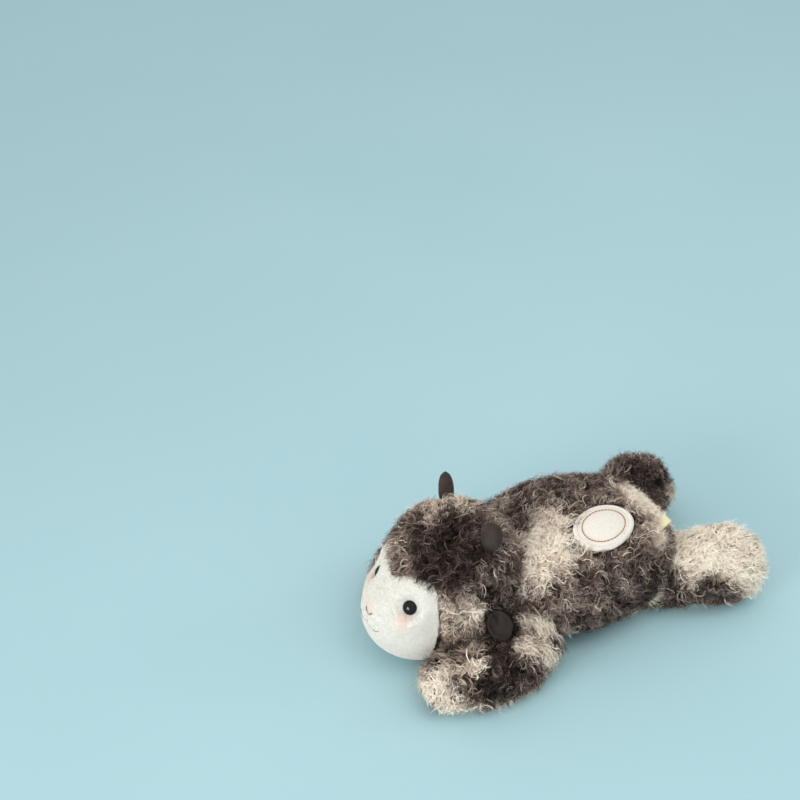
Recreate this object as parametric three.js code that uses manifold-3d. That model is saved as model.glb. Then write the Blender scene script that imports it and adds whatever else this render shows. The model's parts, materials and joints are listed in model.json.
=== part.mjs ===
// Lying plush sheep, about 34 cm from nose to hind feet, in millimetres.
// It lies on its belly, faces -Y and has its left side towards +X.
// The origin is under the middle of the belly, on the surface that it lies on.

import * as THREE from 'three';
import { mergeVertices } from 'three/addons/utils/BufferGeometryUtils.js';
import Module from 'manifold-3d';

const wasm = await Module();
wasm.setup();

// Fits that all pieces share
const seatGap = 0.35; // clearance between pieces that touch
const floorSink = 0.5; // how deep the filling flattens on the surface that it lies on
const cutOverrun = 4; // how far a cutting tool runs past what it cuts
const sweepStepDegrees = 10; // spacing of the positions that a joint's clearance is cut for

// Body: a loaf, flatter below than above, a little wider at the hips
const bodyLength = 182;
const bodyWidth = 139;
const bodyHeight = 94;
const bodyBluntShare = 0.72; // lower is blunter at both ends
const bodySquareShare = 0.75; // 1 is an ellipse across, lower is squarer
const bellyShare = 0.45; // height of the widest line, as a share of the body's height
const hipSwellShare = 0.04;
const bodyRings = 22;
const bodySides = 32;

// Head: a round skull and a muzzle that juts down and forward from it
const skullWidth = 110;
const skullLength = 106;
const skullHeight = 104;
const muzzleWidth = 86;
const muzzleLength = 91;
const muzzleHeight = 78;
const muzzleForward = 30; // from the skull's middle to the muzzle's
const skullRise = 29; // from the muzzle's middle up to the skull's
const neckOverlap = 36; // how far the skull reaches over the body's front end
const cheekBlend = 14; // width over which skull and muzzle flow together
const headBackRings = 13;
const headSides = 32;

// Face: a smooth plush panel sewn into the front of the head
const faceThickness = 2.2;
const faceRings = 11;
// How far the panel reaches from the nose towards the head's back, as shares of a half turn.
// The list runs from the middle of the brow, where the fringe dips, round the cheek to the chin.
const faceReachShares = [0.18, 0.25, 0.368, 0.362, 0.357, 0.352, 0.352, 0.356, 0.36];

// Eyes: domed safety eyes, each with a shank through the face and a lock washer behind it
const eyeDiameter = 12;
const eyeDome = 3.9;
const eyeShankDiameter = 4.4;
const eyeShankLength = 13;
const eyeSeatGap = 0.6; // the dome's flat back clears the curve of the face
const eyeSpacing = 52.5; // between the two eyes' middles, straight across
const eyeHeight = 66.5; // above the surface that the sheep lies on
const eyeHollowDepth = 3; // how far each shank pulls the face in
const eyeHollowReach = 14; // from an eye's middle to where the face is full again
const washerDiameter = 12.6;
const washerThickness = 1.8;
const washerHubDiameter = 7.6;
const washerHubHeight = 1.6;
const eyeSides = 20;
const domeSections = 7;

// Horns: small stuffed suede petals on the crown
const hornLength = 31;
const hornWidth = 23;
const hornThickness = 12.5;
const hornRoot = 4; // how far the petal starts inside the head before it is trimmed
const hornAcrossShare = 0.18; // turn from straight up towards the side, as a share of a half turn
const hornBackShare = 0.635; // turn from the nose towards the back, as a share of a half turn
const hornLeanShare = 0.24; // sideways lean for each length upwards
const hornTurnDegrees = 38; // turn of the broad face outwards
const hornRootShare = 0.45; // how much narrower the petal is at its root
const hornRings = 6;
const hornSides = 18;

// Ears: furry leaves with a suede lining on the side that faces out
const earLength = 37;
const earWidth = 30;
const earThickness = 8;
const earCup = 4; // how much the ear's edges curl forward
const earRoot = 5; // how far the leaf starts inside the head before it is trimmed
const earRootShare = 0.5; // how much narrower the leaf is at its root
const earAcrossShare = 0.425;
const earBackShare = 0.605;
const earDroopShare = 0.8; // fall for each length outwards
const earSweepShare = 0.1; // backward run for each length outwards
const earFaceShare = 0.62; // how far the lining looks forward, for each length outwards
const liningLength = 24;
const liningWidth = 21;
const liningThickness = 1.8;
const liningInset = 11; // from the ear's root end to the lining
const liningRootShare = 0.12;
const earRings = 7;
const liningRings = 5;
const earSides = 20;
const earDropDegrees = 3;
const earLiftDegrees = 45;

// Forelegs: sewn tubes that leave the shoulder sideways and curl in again to the paw
const forelegLength = 110; // from the shoulder joint to the middle of the paw, along the curve
const forelegRootRadius = 22;
const forelegSwellRadius = 24;
const pawRadius = 20.5;
const shoulderAcross = 40; // from the body's middle plane to the shoulder joint
const shoulderInset = 38; // from the body's front end to the shoulder joint
const leftForelegStartDegrees = 62; // heading at the shoulder, outward from straight ahead
const leftForelegBendDegrees = 88; // how far the leg curls inwards over its length
const rightForelegStartDegrees = 98;
const rightForelegBendDegrees = 164;
const forelegSpreadDegrees = 30;

// Hind legs: nearly straight tubes that splay to the back
const hindlegLength = 76;
const hindlegRootRadius = 26;
const hindlegSwellRadius = 27.5;
const footRadius = 29.5;
const hipAcross = 31;
const hipInset = 34; // from the body's rear end to the hip joint
const leftHindlegSplayDegrees = 24;
const rightHindlegSplayDegrees = 33;
const hindlegBendDegrees = 6;
const hindlegCloseDegrees = 8;
const hindlegSpreadDegrees = 30;
const swellPlaceShare = 0.5; // where a tube is thickest, as a share of its length
const legSections = 10;
const legCapSections = 4;
const legSides = 20;

// Neck and tail joints
const neckInset = 33; // from the body's front end to the neck joint
const neckRiseShare = 0.7; // height of the neck joint, as a share of the body's height
const nodDegrees = 25;
const tailLength = 24;
const tailRootRadius = 9;
const tailSwellRadius = 11;
const tailTipRadius = 4;
const tailHeight = 50;
const tailInset = 6; // from the body's rear end to the tail's root
const tailDroopDegrees = 58; // below straight back
const tailWagDegrees = 20;
const tailSides = 16;

// Badge: a padded felt oval on the back, and the folded satin label in the hip seam
const badgeLength = 60;
const badgeWidth = 38;
const badgeThickness = 2.6;
const badgeSideInset = 36; // from the body's side to the badge's middle
const badgeRearInset = 76; // from the body's rear end to the badge's middle
const badgeTurnDegrees = 17;
const badgeRings = 4;
const badgeSides = 28;
const labelWidth = 11;
const labelLength = 13;
const labelPly = 0.7;
const labelFold = 1.4; // outer thickness of the folded loop
const labelSideInset = 31; // from the body's side to the label
const labelRearInset = 25; // from the body's rear end to the label
const labelLeanDegrees = 35;
const labelBendSections = 6;

// Places that follow from the sizes above
const bodyHalves = new THREE.Vector3(bodyWidth / 2, bodyLength / 2, bodyHeight / 2);
const bellyLine = bodyHeight * bellyShare;
const skullHalves = new THREE.Vector3(skullWidth, skullLength, skullHeight).divideScalar(2);
const muzzleHalves = new THREE.Vector3(muzzleWidth, muzzleLength, muzzleHeight).divideScalar(2);
const skullMiddleY = neckOverlap - bodyHalves.y - skullHalves.y;
const muzzleMiddleZ = muzzleHalves.z + seatGap + faceThickness - floorSink;
const skullMiddle = new THREE.Vector3(0, skullMiddleY, muzzleMiddleZ + skullRise);
const muzzleMiddle = new THREE.Vector3(0, skullMiddleY - muzzleForward, muzzleMiddleZ);
const headCore = skullMiddle.clone().add(muzzleMiddle).divideScalar(2);
const neckJoint = new THREE.Vector3(0, neckInset - bodyHalves.y, bodyHeight * neckRiseShare);
const upAxis = new THREE.Vector3(0, 0, 1);
const sideAxis = new THREE.Vector3(1, 0, 0);
const backAxis = new THREE.Vector3(0, 1, 0);

// Points and triangles as a closed body whose faces point outwards
function solidOf(points, triangles) {
  let volume = 0;
  for (let i = 0; i < triangles.length; i += 3) {
    const [a, b, c] = [0, 1, 2].map((k) => points[triangles[i + k]]);
    volume += a.dot(new THREE.Vector3().crossVectors(b, c));
  }
  const triVerts = Uint32Array.from(triangles);
  if (volume < 0) triVerts.reverse();
  const vertProperties = Float32Array.from(points.flatMap((point) => point.toArray()));
  return new wasm.Manifold(new wasm.Mesh({ numProp: 3, vertProperties, triVerts }));
}

// A three.js geometry as a solid
function solidOfGeometry(geometry) {
  const bare = geometry.clone();
  bare.deleteAttribute('normal');
  bare.deleteAttribute('uv');
  const merged = mergeVertices(bare);
  const position = merged.attributes.position;
  const points = [];
  for (let i = 0; i < position.count; i += 1) {
    points.push(new THREE.Vector3().fromBufferAttribute(position, i));
  }
  return solidOf(points, Array.from(merged.index.array));
}

// A solid as a three.js geometry with flat faces
function geometryOf(solid) {
  const mesh = solid.getMesh();
  const geometry = new THREE.BufferGeometry();
  geometry.setAttribute('position', new THREE.BufferAttribute(mesh.vertProperties, 3));
  geometry.setIndex(new THREE.BufferAttribute(mesh.triVerts, 1));
  geometry.computeVertexNormals();
  return geometry;
}

// Rings of equal counts, closed by a point at each end
function skinOver(firstPole, rings, lastPole) {
  const sides = rings[0].length;
  const points = [firstPole, ...rings.flat(), lastPole];
  const last = points.length - 1;
  const triangles = [];
  for (let j = 0; j < sides; j += 1) {
    const next = (j + 1) % sides;
    triangles.push(0, 1 + next, 1 + j);
    for (let i = 0; i < rings.length - 1; i += 1) {
      const here = 1 + i * sides;
      const there = here + sides;
      triangles.push(here + j, here + next, there + next);
      triangles.push(here + j, there + next, there + j);
    }
    const end = last - sides;
    triangles.push(end + j, end + next, last);
  }
  return solidOf(points, triangles);
}

// A power that keeps its sign, for squared sections
function signedPower(value, power) {
  return Math.sign(value) * Math.abs(value) ** power;
}

function degrees(angle) {
  return THREE.MathUtils.degToRad(angle);
}

// A solid turned about an axis through a point
function turned(solid, pivot, axis, angle) {
  const there = new THREE.Matrix4().makeTranslation(pivot.x, pivot.y, pivot.z);
  const back = new THREE.Matrix4().makeTranslation(-pivot.x, -pivot.y, -pivot.z);
  const turn = new THREE.Matrix4().makeRotationAxis(axis, degrees(angle));
  return solid.transform(there.multiply(turn).multiply(back).elements);
}

// What a neighbour sweeps, seen from a piece whose joint runs from one angle to another
function swept(neighbour, pivot, axis, from, to, spacing = sweepStepDegrees) {
  const steps = Math.ceil((to - from) / spacing);
  let sweep = neighbour;
  for (let i = 0; i <= steps; i += 1) {
    const angle = THREE.MathUtils.lerp(from, to, i / steps);
    sweep = sweep.add(turned(neighbour, pivot, axis, -angle));
  }
  return sweep;
}

// What lies under the surface, cut away so that each form rests on a flat
function restedFlat(solid) {
  const span = 2 * (bodyLength + skullLength + muzzleLength + hindlegLength);
  const under = new THREE.BoxGeometry(span, span, cutOverrun);
  under.translate(0, 0, -cutOverrun / 2);
  return solid.subtract(solidOfGeometry(under));
}

// Half width, half height and middle height of the body at a share of its length
function bodySection(along, grow) {
  const round = Math.max(1 - along * along, 0) ** (bodyBluntShare / 2);
  const above = bodyHeight - bellyLine;
  return {
    across: (bodyHalves.x + grow) * round * (1 + hipSwellShare * along),
    above: (above + grow) * round,
    below: (bellyLine + floorSink + grow) * round,
  };
}

function bodySolid(grow) {
  const rings = [];
  for (let i = 1; i < bodyRings; i += 1) {
    const along = -Math.cos((Math.PI * i) / bodyRings);
    const section = bodySection(along, grow);
    const ring = [];
    for (let j = 0; j < bodySides; j += 1) {
      const turn = (2 * Math.PI * j) / bodySides;
      const x = section.across * signedPower(Math.cos(turn), bodySquareShare);
      const rise = signedPower(Math.sin(turn), bodySquareShare);
      const z = bellyLine + rise * (rise > 0 ? section.above : section.below);
      ring.push(new THREE.Vector3(x, along * (bodyHalves.y + grow), z));
    }
    rings.push(ring);
  }
  const front = new THREE.Vector3(0, -bodyHalves.y - grow, bellyLine);
  const rear = new THREE.Vector3(0, bodyHalves.y + grow, bellyLine);
  return skinOver(front, rings, rear);
}

// Height of the body's back over a point of its plan
function backHeight(x, y) {
  const section = bodySection(y / bodyHalves.y, 0);
  const square = 2 / bodySquareShare;
  const share = Math.min(Math.abs(x) / section.across, 1);
  return bellyLine + section.above * (1 - share ** square) ** (1 / square);
}

// Distance from the head's core to the surface of an egg round it
function eggReach(direction, middle, halves) {
  const start = headCore.clone().sub(middle).divide(halves);
  const step = direction.clone().divide(halves);
  const a = step.dot(step);
  const b = start.dot(step);
  const c = start.dot(start) - 1;
  return (Math.sqrt(b * b - a * c) - b) / a;
}

// Skull and muzzle flow into one another where their surfaces meet
function headReach(direction) {
  const skull = eggReach(direction, skullMiddle, skullHalves);
  const muzzle = eggReach(direction, muzzleMiddle, muzzleHalves);
  const mix = THREE.MathUtils.clamp((1 + (skull - muzzle) / cheekBlend) / 2, 0, 1);
  return THREE.MathUtils.lerp(muzzle, skull, mix) + cheekBlend * mix * (1 - mix);
}

// A direction from the head's core: back is the turn from the nose, across from straight up
function headDirection(back, across) {
  const side = Math.sin(back);
  return new THREE.Vector3(side * Math.sin(across), -Math.cos(back), side * Math.cos(across));
}

// The face is pulled in round each eye, in a hollow that is level under the eye itself
function eyeHollow(point) {
  if (point.y > headCore.y) return 0;
  const away = Math.hypot(Math.abs(point.x) - eyeSpacing / 2, point.z - eyeHeight);
  return eyeHollowDepth * (1 - THREE.MathUtils.smoothstep(away, eyeDiameter / 2, eyeHollowReach));
}

function headPoint(back, across, lift) {
  const direction = headDirection(back, across);
  const full = headCore.clone().addScaledVector(direction, headReach(direction) + lift);
  return full.addScaledVector(direction, -eyeHollow(full));
}

// Outward direction of the head's surface
function headNormal(back, across) {
  const nudge = Math.PI / (headSides * headBackRings);
  const alongBack = headPoint(back + nudge, across, 0).sub(headPoint(back - nudge, across, 0));
  const alongSide = headPoint(back, across + nudge, 0).sub(headPoint(back, across - nudge, 0));
  const normal = alongBack.cross(alongSide).normalize();
  return normal.dot(headDirection(back, across)) < 0 ? normal.negate() : normal;
}

// Turn from the nose to the face panel's seam
const faceSeamCurve = new THREE.SplineCurve(
  faceReachShares.map((share, i) => new THREE.Vector2(i / (faceReachShares.length - 1), share)),
);

function faceSeam(across) {
  const round = Math.abs(THREE.MathUtils.euclideanModulo(across + Math.PI, 2 * Math.PI) - Math.PI);
  return faceSeamCurve.getPoint(round / Math.PI).y * Math.PI;
}

// One ring of points round the head, a share of the way from the nose to the face's seam
function faceRing(share, lift) {
  const ring = [];
  for (let j = 0; j < headSides; j += 1) {
    const across = (2 * Math.PI * j) / headSides;
    ring.push(headPoint(faceSeam(across) * share, across, lift));
  }
  return ring;
}

function headSolid(grow) {
  const rings = [];
  for (let i = 1; i <= faceRings; i += 1) rings.push(faceRing(i / faceRings, grow));
  for (let i = 1; i < headBackRings; i += 1) {
    const ring = [];
    for (let j = 0; j < headSides; j += 1) {
      const across = (2 * Math.PI * j) / headSides;
      const back = THREE.MathUtils.lerp(faceSeam(across), Math.PI, i / headBackRings);
      ring.push(headPoint(back, across, grow));
    }
    rings.push(ring);
  }
  return skinOver(headPoint(0, 0, grow), rings, headPoint(Math.PI, 0, grow));
}

// The face panel follows the head at the seat gap, and its edge is the seam
function facePanelSolid() {
  const inner = seatGap;
  const outer = seatGap + faceThickness;
  const rings = [];
  for (let i = 1; i <= faceRings; i += 1) rings.push(faceRing(i / faceRings, inner));
  for (let i = faceRings; i >= 1; i -= 1) rings.push(faceRing(i / faceRings, outer));
  return skinOver(headPoint(0, 0, inner), rings, headPoint(0, 0, outer));
}

// Finds the turns at which the head's surface has the eye's place
function eyeTurns(side) {
  let [back, across] = [Math.PI / 4, (side * Math.PI) / 4];
  for (let i = 0; i < headSides; i += 1) {
    const point = headPoint(back, across, seatGap + faceThickness).sub(headCore);
    const wantedX = (side * eyeSpacing) / 2;
    const wantedZ = eyeHeight - headCore.z;
    across = Math.atan2(wantedX, wantedZ);
    const wanted = Math.hypot(wantedX, wantedZ);
    back = Math.asin((Math.sin(back) * wanted) / Math.hypot(point.x, point.z));
  }
  return [back, across];
}

// A round piece, made by turning a profile, set on a point with its axis along a direction
function turnedPiece(profile, point, direction) {
  const geometry = new THREE.LatheGeometry(profile, eyeSides);
  geometry.applyQuaternion(new THREE.Quaternion().setFromUnitVectors(backAxis, direction));
  geometry.translate(point.x, point.y, point.z);
  return solidOfGeometry(geometry);
}

function eyeSolid(point, direction) {
  const radius = eyeDiameter / 2;
  const shank = eyeShankDiameter / 2;
  const profile = [new THREE.Vector2(0, -eyeShankLength), new THREE.Vector2(shank, -eyeShankLength)];
  profile.push(new THREE.Vector2(shank, 0));
  for (let i = 0; i < domeSections; i += 1) {
    const turn = (Math.PI / 2) * (i / domeSections);
    profile.push(new THREE.Vector2(radius * Math.cos(turn), eyeDome * Math.sin(turn)));
  }
  profile.push(new THREE.Vector2(0, eyeDome));
  return turnedPiece(profile, point, direction);
}

// How far the face's inside curves away from a flat washer at the washer's edge
const washerSag = (washerDiameter / 2) ** 2 / muzzleHeight;
const washerSeat = eyeSeatGap + faceThickness + seatGap + washerSag;

function washerSolid(point, direction) {
  const hole = eyeShankDiameter / 2 + seatGap;
  const rim = washerDiameter / 2;
  const hub = washerHubDiameter / 2;
  const foot = -washerSeat - washerThickness;
  const corners = [
    [hole, -washerSeat],
    [hole, foot - washerHubHeight],
    [hub, foot - washerHubHeight],
    [hub, foot],
    [rim, foot],
    [rim, -washerSeat],
    [hole, -washerSeat],
  ];
  return turnedPiece(corners.map(([r, h]) => new THREE.Vector2(r, h)), point, direction);
}

// Room for an eye: a seat for the dome, a hole for the shank, and a pocket for the washer
function eyeRoom(point, direction) {
  const shank = eyeShankDiameter / 2 + seatGap;
  const rim = washerDiameter / 2 + seatGap;
  const pocketFloor = -washerSeat - washerThickness - washerHubHeight - seatGap;
  const boreFloor = -eyeShankLength - seatGap;
  const bore = [[0, boreFloor], [shank, boreFloor], [shank, cutOverrun], [0, cutOverrun]];
  const pocket = [[0, pocketFloor], [rim, pocketFloor], [rim, 0], [0, 0]];
  const edge = eyeDiameter / 2 + seatGap;
  const seat = [[0, -seatGap], [edge, -seatGap], [edge, cutOverrun], [0, cutOverrun]];
  const tools = [bore, pocket, seat].map((corners) => {
    const profile = corners.map(([r, h]) => new THREE.Vector2(r, h));
    return turnedPiece(profile, point, direction);
  });
  return { bore: tools[0], pocket: tools[1], seat: tools[2] };
}

// A leaf or plate in its own plane: x runs along it, y across it, z through it.
// The outline gives x and y at a turn, low and high give z over a place in the outline.
function leafSolid(outline, low, high, rings, sides, pinched) {
  const layer = (share, surface) => {
    const ring = [];
    for (let j = 0; j < sides; j += 1) {
      const edge = outline((2 * Math.PI * j) / sides);
      const x = edge.x * share;
      const y = edge.y * share;
      ring.push(new THREE.Vector3(x, y, surface(x, y, share)));
    }
    return ring;
  };
  const stack = [];
  const lastLow = pinched ? rings - 1 : rings;
  for (let i = 1; i <= rings; i += 1) {
    if (i <= lastLow || pinched) stack.push(layer(i / rings, low));
  }
  for (let i = lastLow; i >= 1; i -= 1) stack.push(layer(i / rings, high));
  const first = new THREE.Vector3(0, 0, low(0, 0, 0));
  const last = new THREE.Vector3(0, 0, high(0, 0, 0));
  return skinOver(first, stack, last);
}

// A petal outline, narrow at its root and round at its far end
function petal(length, width, rootShare) {
  return (turn) => {
    const x = (length / 2) * Math.cos(turn);
    const taper = 1 - rootShare * (1 - Math.cos(turn)) / 2;
    return new THREE.Vector2(x, (width / 2) * Math.sin(turn) * taper);
  };
}

// Sets a leaf on a point with its length along one direction and its face along another
function placedLeaf(solid, point, along, facing) {
  const x = along.clone().normalize();
  const z = facing.clone().addScaledVector(x, -facing.dot(x)).normalize();
  const y = new THREE.Vector3().crossVectors(z, x);
  const place = new THREE.Matrix4().makeBasis(x, y, z).setPosition(point);
  return solid.transform(place.elements);
}

// A stuffed tube along a curve, round at both ends, with a swelling between them
function stuffedTube(curve, rootRadius, swellRadius, endRadius, sides) {
  const radiusCurve = new THREE.SplineCurve([
    new THREE.Vector2(0, rootRadius),
    new THREE.Vector2(swellPlaceShare, swellRadius),
    new THREE.Vector2(1, endRadius),
  ]);
  const ringAt = (centre, tangent, radius) => {
    const side = new THREE.Vector3().crossVectors(tangent, upAxis).normalize();
    const top = new THREE.Vector3().crossVectors(side, tangent).normalize();
    const ring = [];
    for (let j = 0; j < sides; j += 1) {
      const turn = (2 * Math.PI * j) / sides;
      const point = centre.clone().addScaledVector(side, radius * Math.cos(turn));
      ring.push(point.addScaledVector(top, radius * Math.sin(turn)));
    }
    return ring;
  };
  const start = curve.getPoint(0);
  const end = curve.getPoint(1);
  const startTangent = curve.getTangent(0);
  const endTangent = curve.getTangent(1);
  const rings = [];
  for (let i = 1; i < legCapSections; i += 1) {
    const turn = (Math.PI / 2) * (i / legCapSections);
    const centre = start.clone().addScaledVector(startTangent, -rootRadius * Math.cos(turn));
    rings.push(ringAt(centre, startTangent, rootRadius * Math.sin(turn)));
  }
  for (let i = 0; i <= legSections; i += 1) {
    const share = i / legSections;
    rings.push(ringAt(curve.getPoint(share), curve.getTangent(share), radiusCurve.getPoint(share).y));
  }
  for (let i = legCapSections - 1; i >= 1; i -= 1) {
    const turn = (Math.PI / 2) * (i / legCapSections);
    const centre = end.clone().addScaledVector(endTangent, endRadius * Math.cos(turn));
    rings.push(ringAt(centre, endTangent, endRadius * Math.sin(turn)));
  }
  const first = start.clone().addScaledVector(startTangent, -rootRadius);
  const last = end.clone().addScaledVector(endTangent, endRadius);
  return skinOver(first, rings, last);
}

// An arc that leaves a point at one heading and turns steadily, in plan.
// The heading is counted from straight ahead (forward is -1) outwards to the given side.
class LegCurve extends THREE.Curve {
  constructor(root, forward, side, length, startDegrees, bendDegrees, rootRadius, endRadius) {
    super();
    Object.assign(this, { root, forward, side, length, rootRadius, endRadius });
    this.start = degrees(startDegrees);
    this.bend = degrees(bendDegrees);
  }

  getPoint(share, target = new THREE.Vector3()) {
    const radius = this.length / this.bend;
    const heading = this.start - this.bend * share;
    const out = radius * (Math.cos(heading) - Math.cos(this.start));
    const ahead = radius * (Math.sin(this.start) - Math.sin(heading));
    const height = THREE.MathUtils.lerp(this.rootRadius, this.endRadius, share) - floorSink;
    const x = this.root.x + this.side * out;
    return target.set(x, this.root.y + this.forward * ahead, height);
  }
}

const body = bodySolid(0);
const bodyTool = bodySolid(seatGap);
const head = headSolid(0);
const headTool = headSolid(seatGap);

// The sheep's own colours and surfaces
const finishes = {
  darkFur: { color: 0x3c3230, roughness: 0.95, metalness: 0 },
  brownFur: { color: 0x6b5d57, roughness: 0.95, metalness: 0 },
  creamFur: { color: 0xd9cbb8, roughness: 0.95, metalness: 0 },
  facePlush: { color: 0xf2f1ea, roughness: 0.9, metalness: 0 },
  suede: { color: 0x4b4140, roughness: 0.85, metalness: 0 },
  gloss: { color: 0x0d0c10, roughness: 0.08, metalness: 0 },
  washerPlastic: { color: 0xe9e9e6, roughness: 0.5, metalness: 0 },
  felt: { color: 0xe6e4df, roughness: 0.9, metalness: 0 },
  satin: { color: 0xe9e7b4, roughness: 0.45, metalness: 0 },
};

const sheep = new THREE.Group();

function addPiece(name, solid, finish) {
  const mesh = new THREE.Mesh(geometryOf(solid), new THREE.MeshStandardMaterial(finishes[finish]));
  mesh.name = name;
  sheep.add(mesh);
}

const sides = { left: 1, right: -1 };

// Body
addPiece('body', restedFlat(body), 'brownFur');

// Eyes, with the rooms that they take in the face panel and the head
const eyes = Object.entries(sides).map(([name, side]) => {
  const [back, across] = eyeTurns(side);
  const direction = headNormal(back, across);
  const point = headPoint(back, across, seatGap + faceThickness + eyeSeatGap);
  return { name, point, direction, room: eyeRoom(point, direction) };
});

// Head and face: the head is the smaller form, so it is trimmed by the body at every nod
const neckSweep = swept(bodyTool, neckJoint, sideAxis.clone().negate(), 0, nodDegrees);
let headShell = restedFlat(head.subtract(neckSweep));
let facePanel = restedFlat(facePanelSolid());
for (const eye of eyes) {
  headShell = headShell.subtract(eye.room.bore).subtract(eye.room.pocket);
  facePanel = facePanel.subtract(eye.room.bore).subtract(eye.room.seat);
}
addPiece('head', headShell, 'darkFur');
addPiece('face_panel', facePanel, 'facePlush');
for (const eye of eyes) {
  addPiece(`eye_${eye.name}`, eyeSolid(eye.point, eye.direction), 'gloss');
  addPiece(`eye_washer_${eye.name}`, washerSolid(eye.point, eye.direction), 'washerPlastic');
}

// Horns
function hornSolid(side) {
  const across = side * hornAcrossShare * Math.PI;
  const back = hornBackShare * Math.PI;
  const seat = headPoint(back, across, 0);
  const along = new THREE.Vector3(side * hornLeanShare, 0, 1).normalize();
  const turn = degrees(hornTurnDegrees);
  const facing = new THREE.Vector3(side * Math.sin(turn), -Math.cos(turn), 0);
  const swell = (share) => (hornThickness / 2) * Math.sqrt(1 - share * share);
  const outline = petal(hornLength, hornWidth, hornRootShare);
  const low = (x, y, share) => -swell(share);
  const high = (x, y, share) => swell(share);
  const leaf = leafSolid(outline, low, high, hornRings, hornSides, true);
  const middle = seat.clone().addScaledVector(along, hornLength / 2 - hornRoot);
  return placedLeaf(leaf, middle, along, facing).subtract(headTool);
}

// Ears: the leaf's middle surface curls forward at its edges
function earCurl(y) {
  return earCup * (y / (earWidth / 2)) ** 2;
}

function earFront(x, y, share) {
  return earCurl(y) + (earThickness / 2) * Math.sqrt(Math.max(1 - share * share, 0));
}

function earBack(x, y, share) {
  return earCurl(y) - (earThickness / 2) * Math.sqrt(Math.max(1 - share * share, 0));
}

const earOutline = petal(earLength, earWidth, earRootShare);
const liningShift = liningInset + (liningLength - earLength) / 2;

// Height of the ear's front at a place counted from the lining's middle
function underLining(x, y) {
  const along = THREE.MathUtils.clamp((x + liningShift) / (earLength / 2), -1, 1);
  const edge = Math.max(Math.abs(earOutline(Math.acos(along)).y), seatGap);
  return earFront(x + liningShift, y, Math.min(Math.hypot(along, y / edge), 1));
}

function liningBack(x, y) {
  return underLining(x, y) - seatGap;
}

function liningFront(x, y) {
  return underLining(x, y) + seatGap + liningThickness;
}

function earPlace(side) {
  const across = side * earAcrossShare * Math.PI;
  const back = earBackShare * Math.PI;
  const seat = headPoint(back, across, 0);
  const along = new THREE.Vector3(side, earSweepShare, -earDroopShare).normalize();
  const facing = new THREE.Vector3(side, -earFaceShare, earFaceShare);
  facing.addScaledVector(along, -facing.dot(along)).normalize();
  const middle = seat.clone().addScaledVector(along, earLength / 2 - earRoot);
  const axis = new THREE.Vector3().crossVectors(along, facing).normalize();
  return { seat, along, facing, middle, axis };
}

for (const [name, side] of Object.entries(sides)) {
  addPiece(`horn_${name}`, hornSolid(side), 'suede');

  const place = earPlace(side);
  const leaf = leafSolid(earOutline, earBack, earFront, earRings, earSides, true);
  const earSweep = swept(headTool, place.seat, place.axis, -earDropDegrees, earLiftDegrees);
  const ear = placedLeaf(leaf, place.middle, place.along, place.facing).subtract(earSweep);
  addPiece(`ear_${name}`, ear, 'darkFur');

  // The lining starts inside the ear and is trimmed to lie on it at the seat gap
  const outline = petal(liningLength, liningWidth, liningRootShare);
  const sunk = leafSolid(outline, liningBack, liningFront, liningRings, earSides, false);
  const earTool = leaf.translate([0, 0, seatGap]);
  const lining = sunk.translate([liningShift, 0, 0]).subtract(earTool);
  const placedLining = placedLeaf(lining, place.middle, place.along, place.facing);
  addPiece(`ear_lining_${name}`, placedLining, 'suede');
}

// Legs: each is trimmed by the body in every place that its joint allows
function legSolid(curve, radii, axis, from, to) {
  const tube = stuffedTube(curve, ...radii, legSides);
  return restedFlat(tube.subtract(swept(bodyTool, curve.root, axis, from, to)));
}

const forelegRadii = [forelegRootRadius, forelegSwellRadius, pawRadius];
const hindlegRadii = [hindlegRootRadius, hindlegSwellRadius, footRadius];
const forelegPose = {
  left: [leftForelegStartDegrees, leftForelegBendDegrees],
  right: [rightForelegStartDegrees, rightForelegBendDegrees],
};
const hindlegPose = {
  left: [leftHindlegSplayDegrees, hindlegBendDegrees],
  right: [rightHindlegSplayDegrees, hindlegBendDegrees],
};

for (const [name, side] of Object.entries(sides)) {
  const outward = upAxis.clone().multiplyScalar(side);
  const shoulder = new THREE.Vector3(side * shoulderAcross, shoulderInset - bodyHalves.y, 0);
  const [foreStart, foreBend] = forelegPose[name];
  const foreCurve = new LegCurve(
    shoulder, -1, side, forelegLength, foreStart, foreBend, forelegRootRadius, pawRadius,
  );
  const foreleg = legSolid(foreCurve, forelegRadii, outward, 0, forelegSpreadDegrees);
  addPiece(`foreleg_${name}`, foreleg, side > 0 ? 'darkFur' : 'brownFur');

  const hip = new THREE.Vector3(side * hipAcross, bodyHalves.y - hipInset, 0);
  const [hindStart, hindBend] = hindlegPose[name];
  const hindCurve = new LegCurve(
    hip, 1, side, hindlegLength, hindStart, hindBend, hindlegRootRadius, footRadius,
  );
  const inward = outward.clone().negate();
  const hindSweep = [-hindlegCloseDegrees, hindlegSpreadDegrees];
  const hindleg = legSolid(hindCurve, hindlegRadii, inward, ...hindSweep);
  addPiece(`hindleg_${name}`, hindleg, side > 0 ? 'creamFur' : 'darkFur');
}

// Tail
const tailRoot = new THREE.Vector3(0, bodyHalves.y - tailInset, tailHeight);
const tailRun = new THREE.Vector3(
  0,
  Math.cos(degrees(tailDroopDegrees)),
  -Math.sin(degrees(tailDroopDegrees)),
);
const tailCurve = new THREE.LineCurve3(
  tailRoot,
  tailRoot.clone().addScaledVector(tailRun, tailLength),
);
const tailRadii = [tailRootRadius, tailSwellRadius, tailTipRadius];
const tailTube = stuffedTube(tailCurve, ...tailRadii, tailSides);
const tailLimits = [-tailWagDegrees, tailWagDegrees];
const tailSweep = swept(bodyTool, tailRoot, backAxis, ...tailLimits, tailWagDegrees);
addPiece('tail', tailTube.subtract(tailSweep), 'creamFur');

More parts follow.
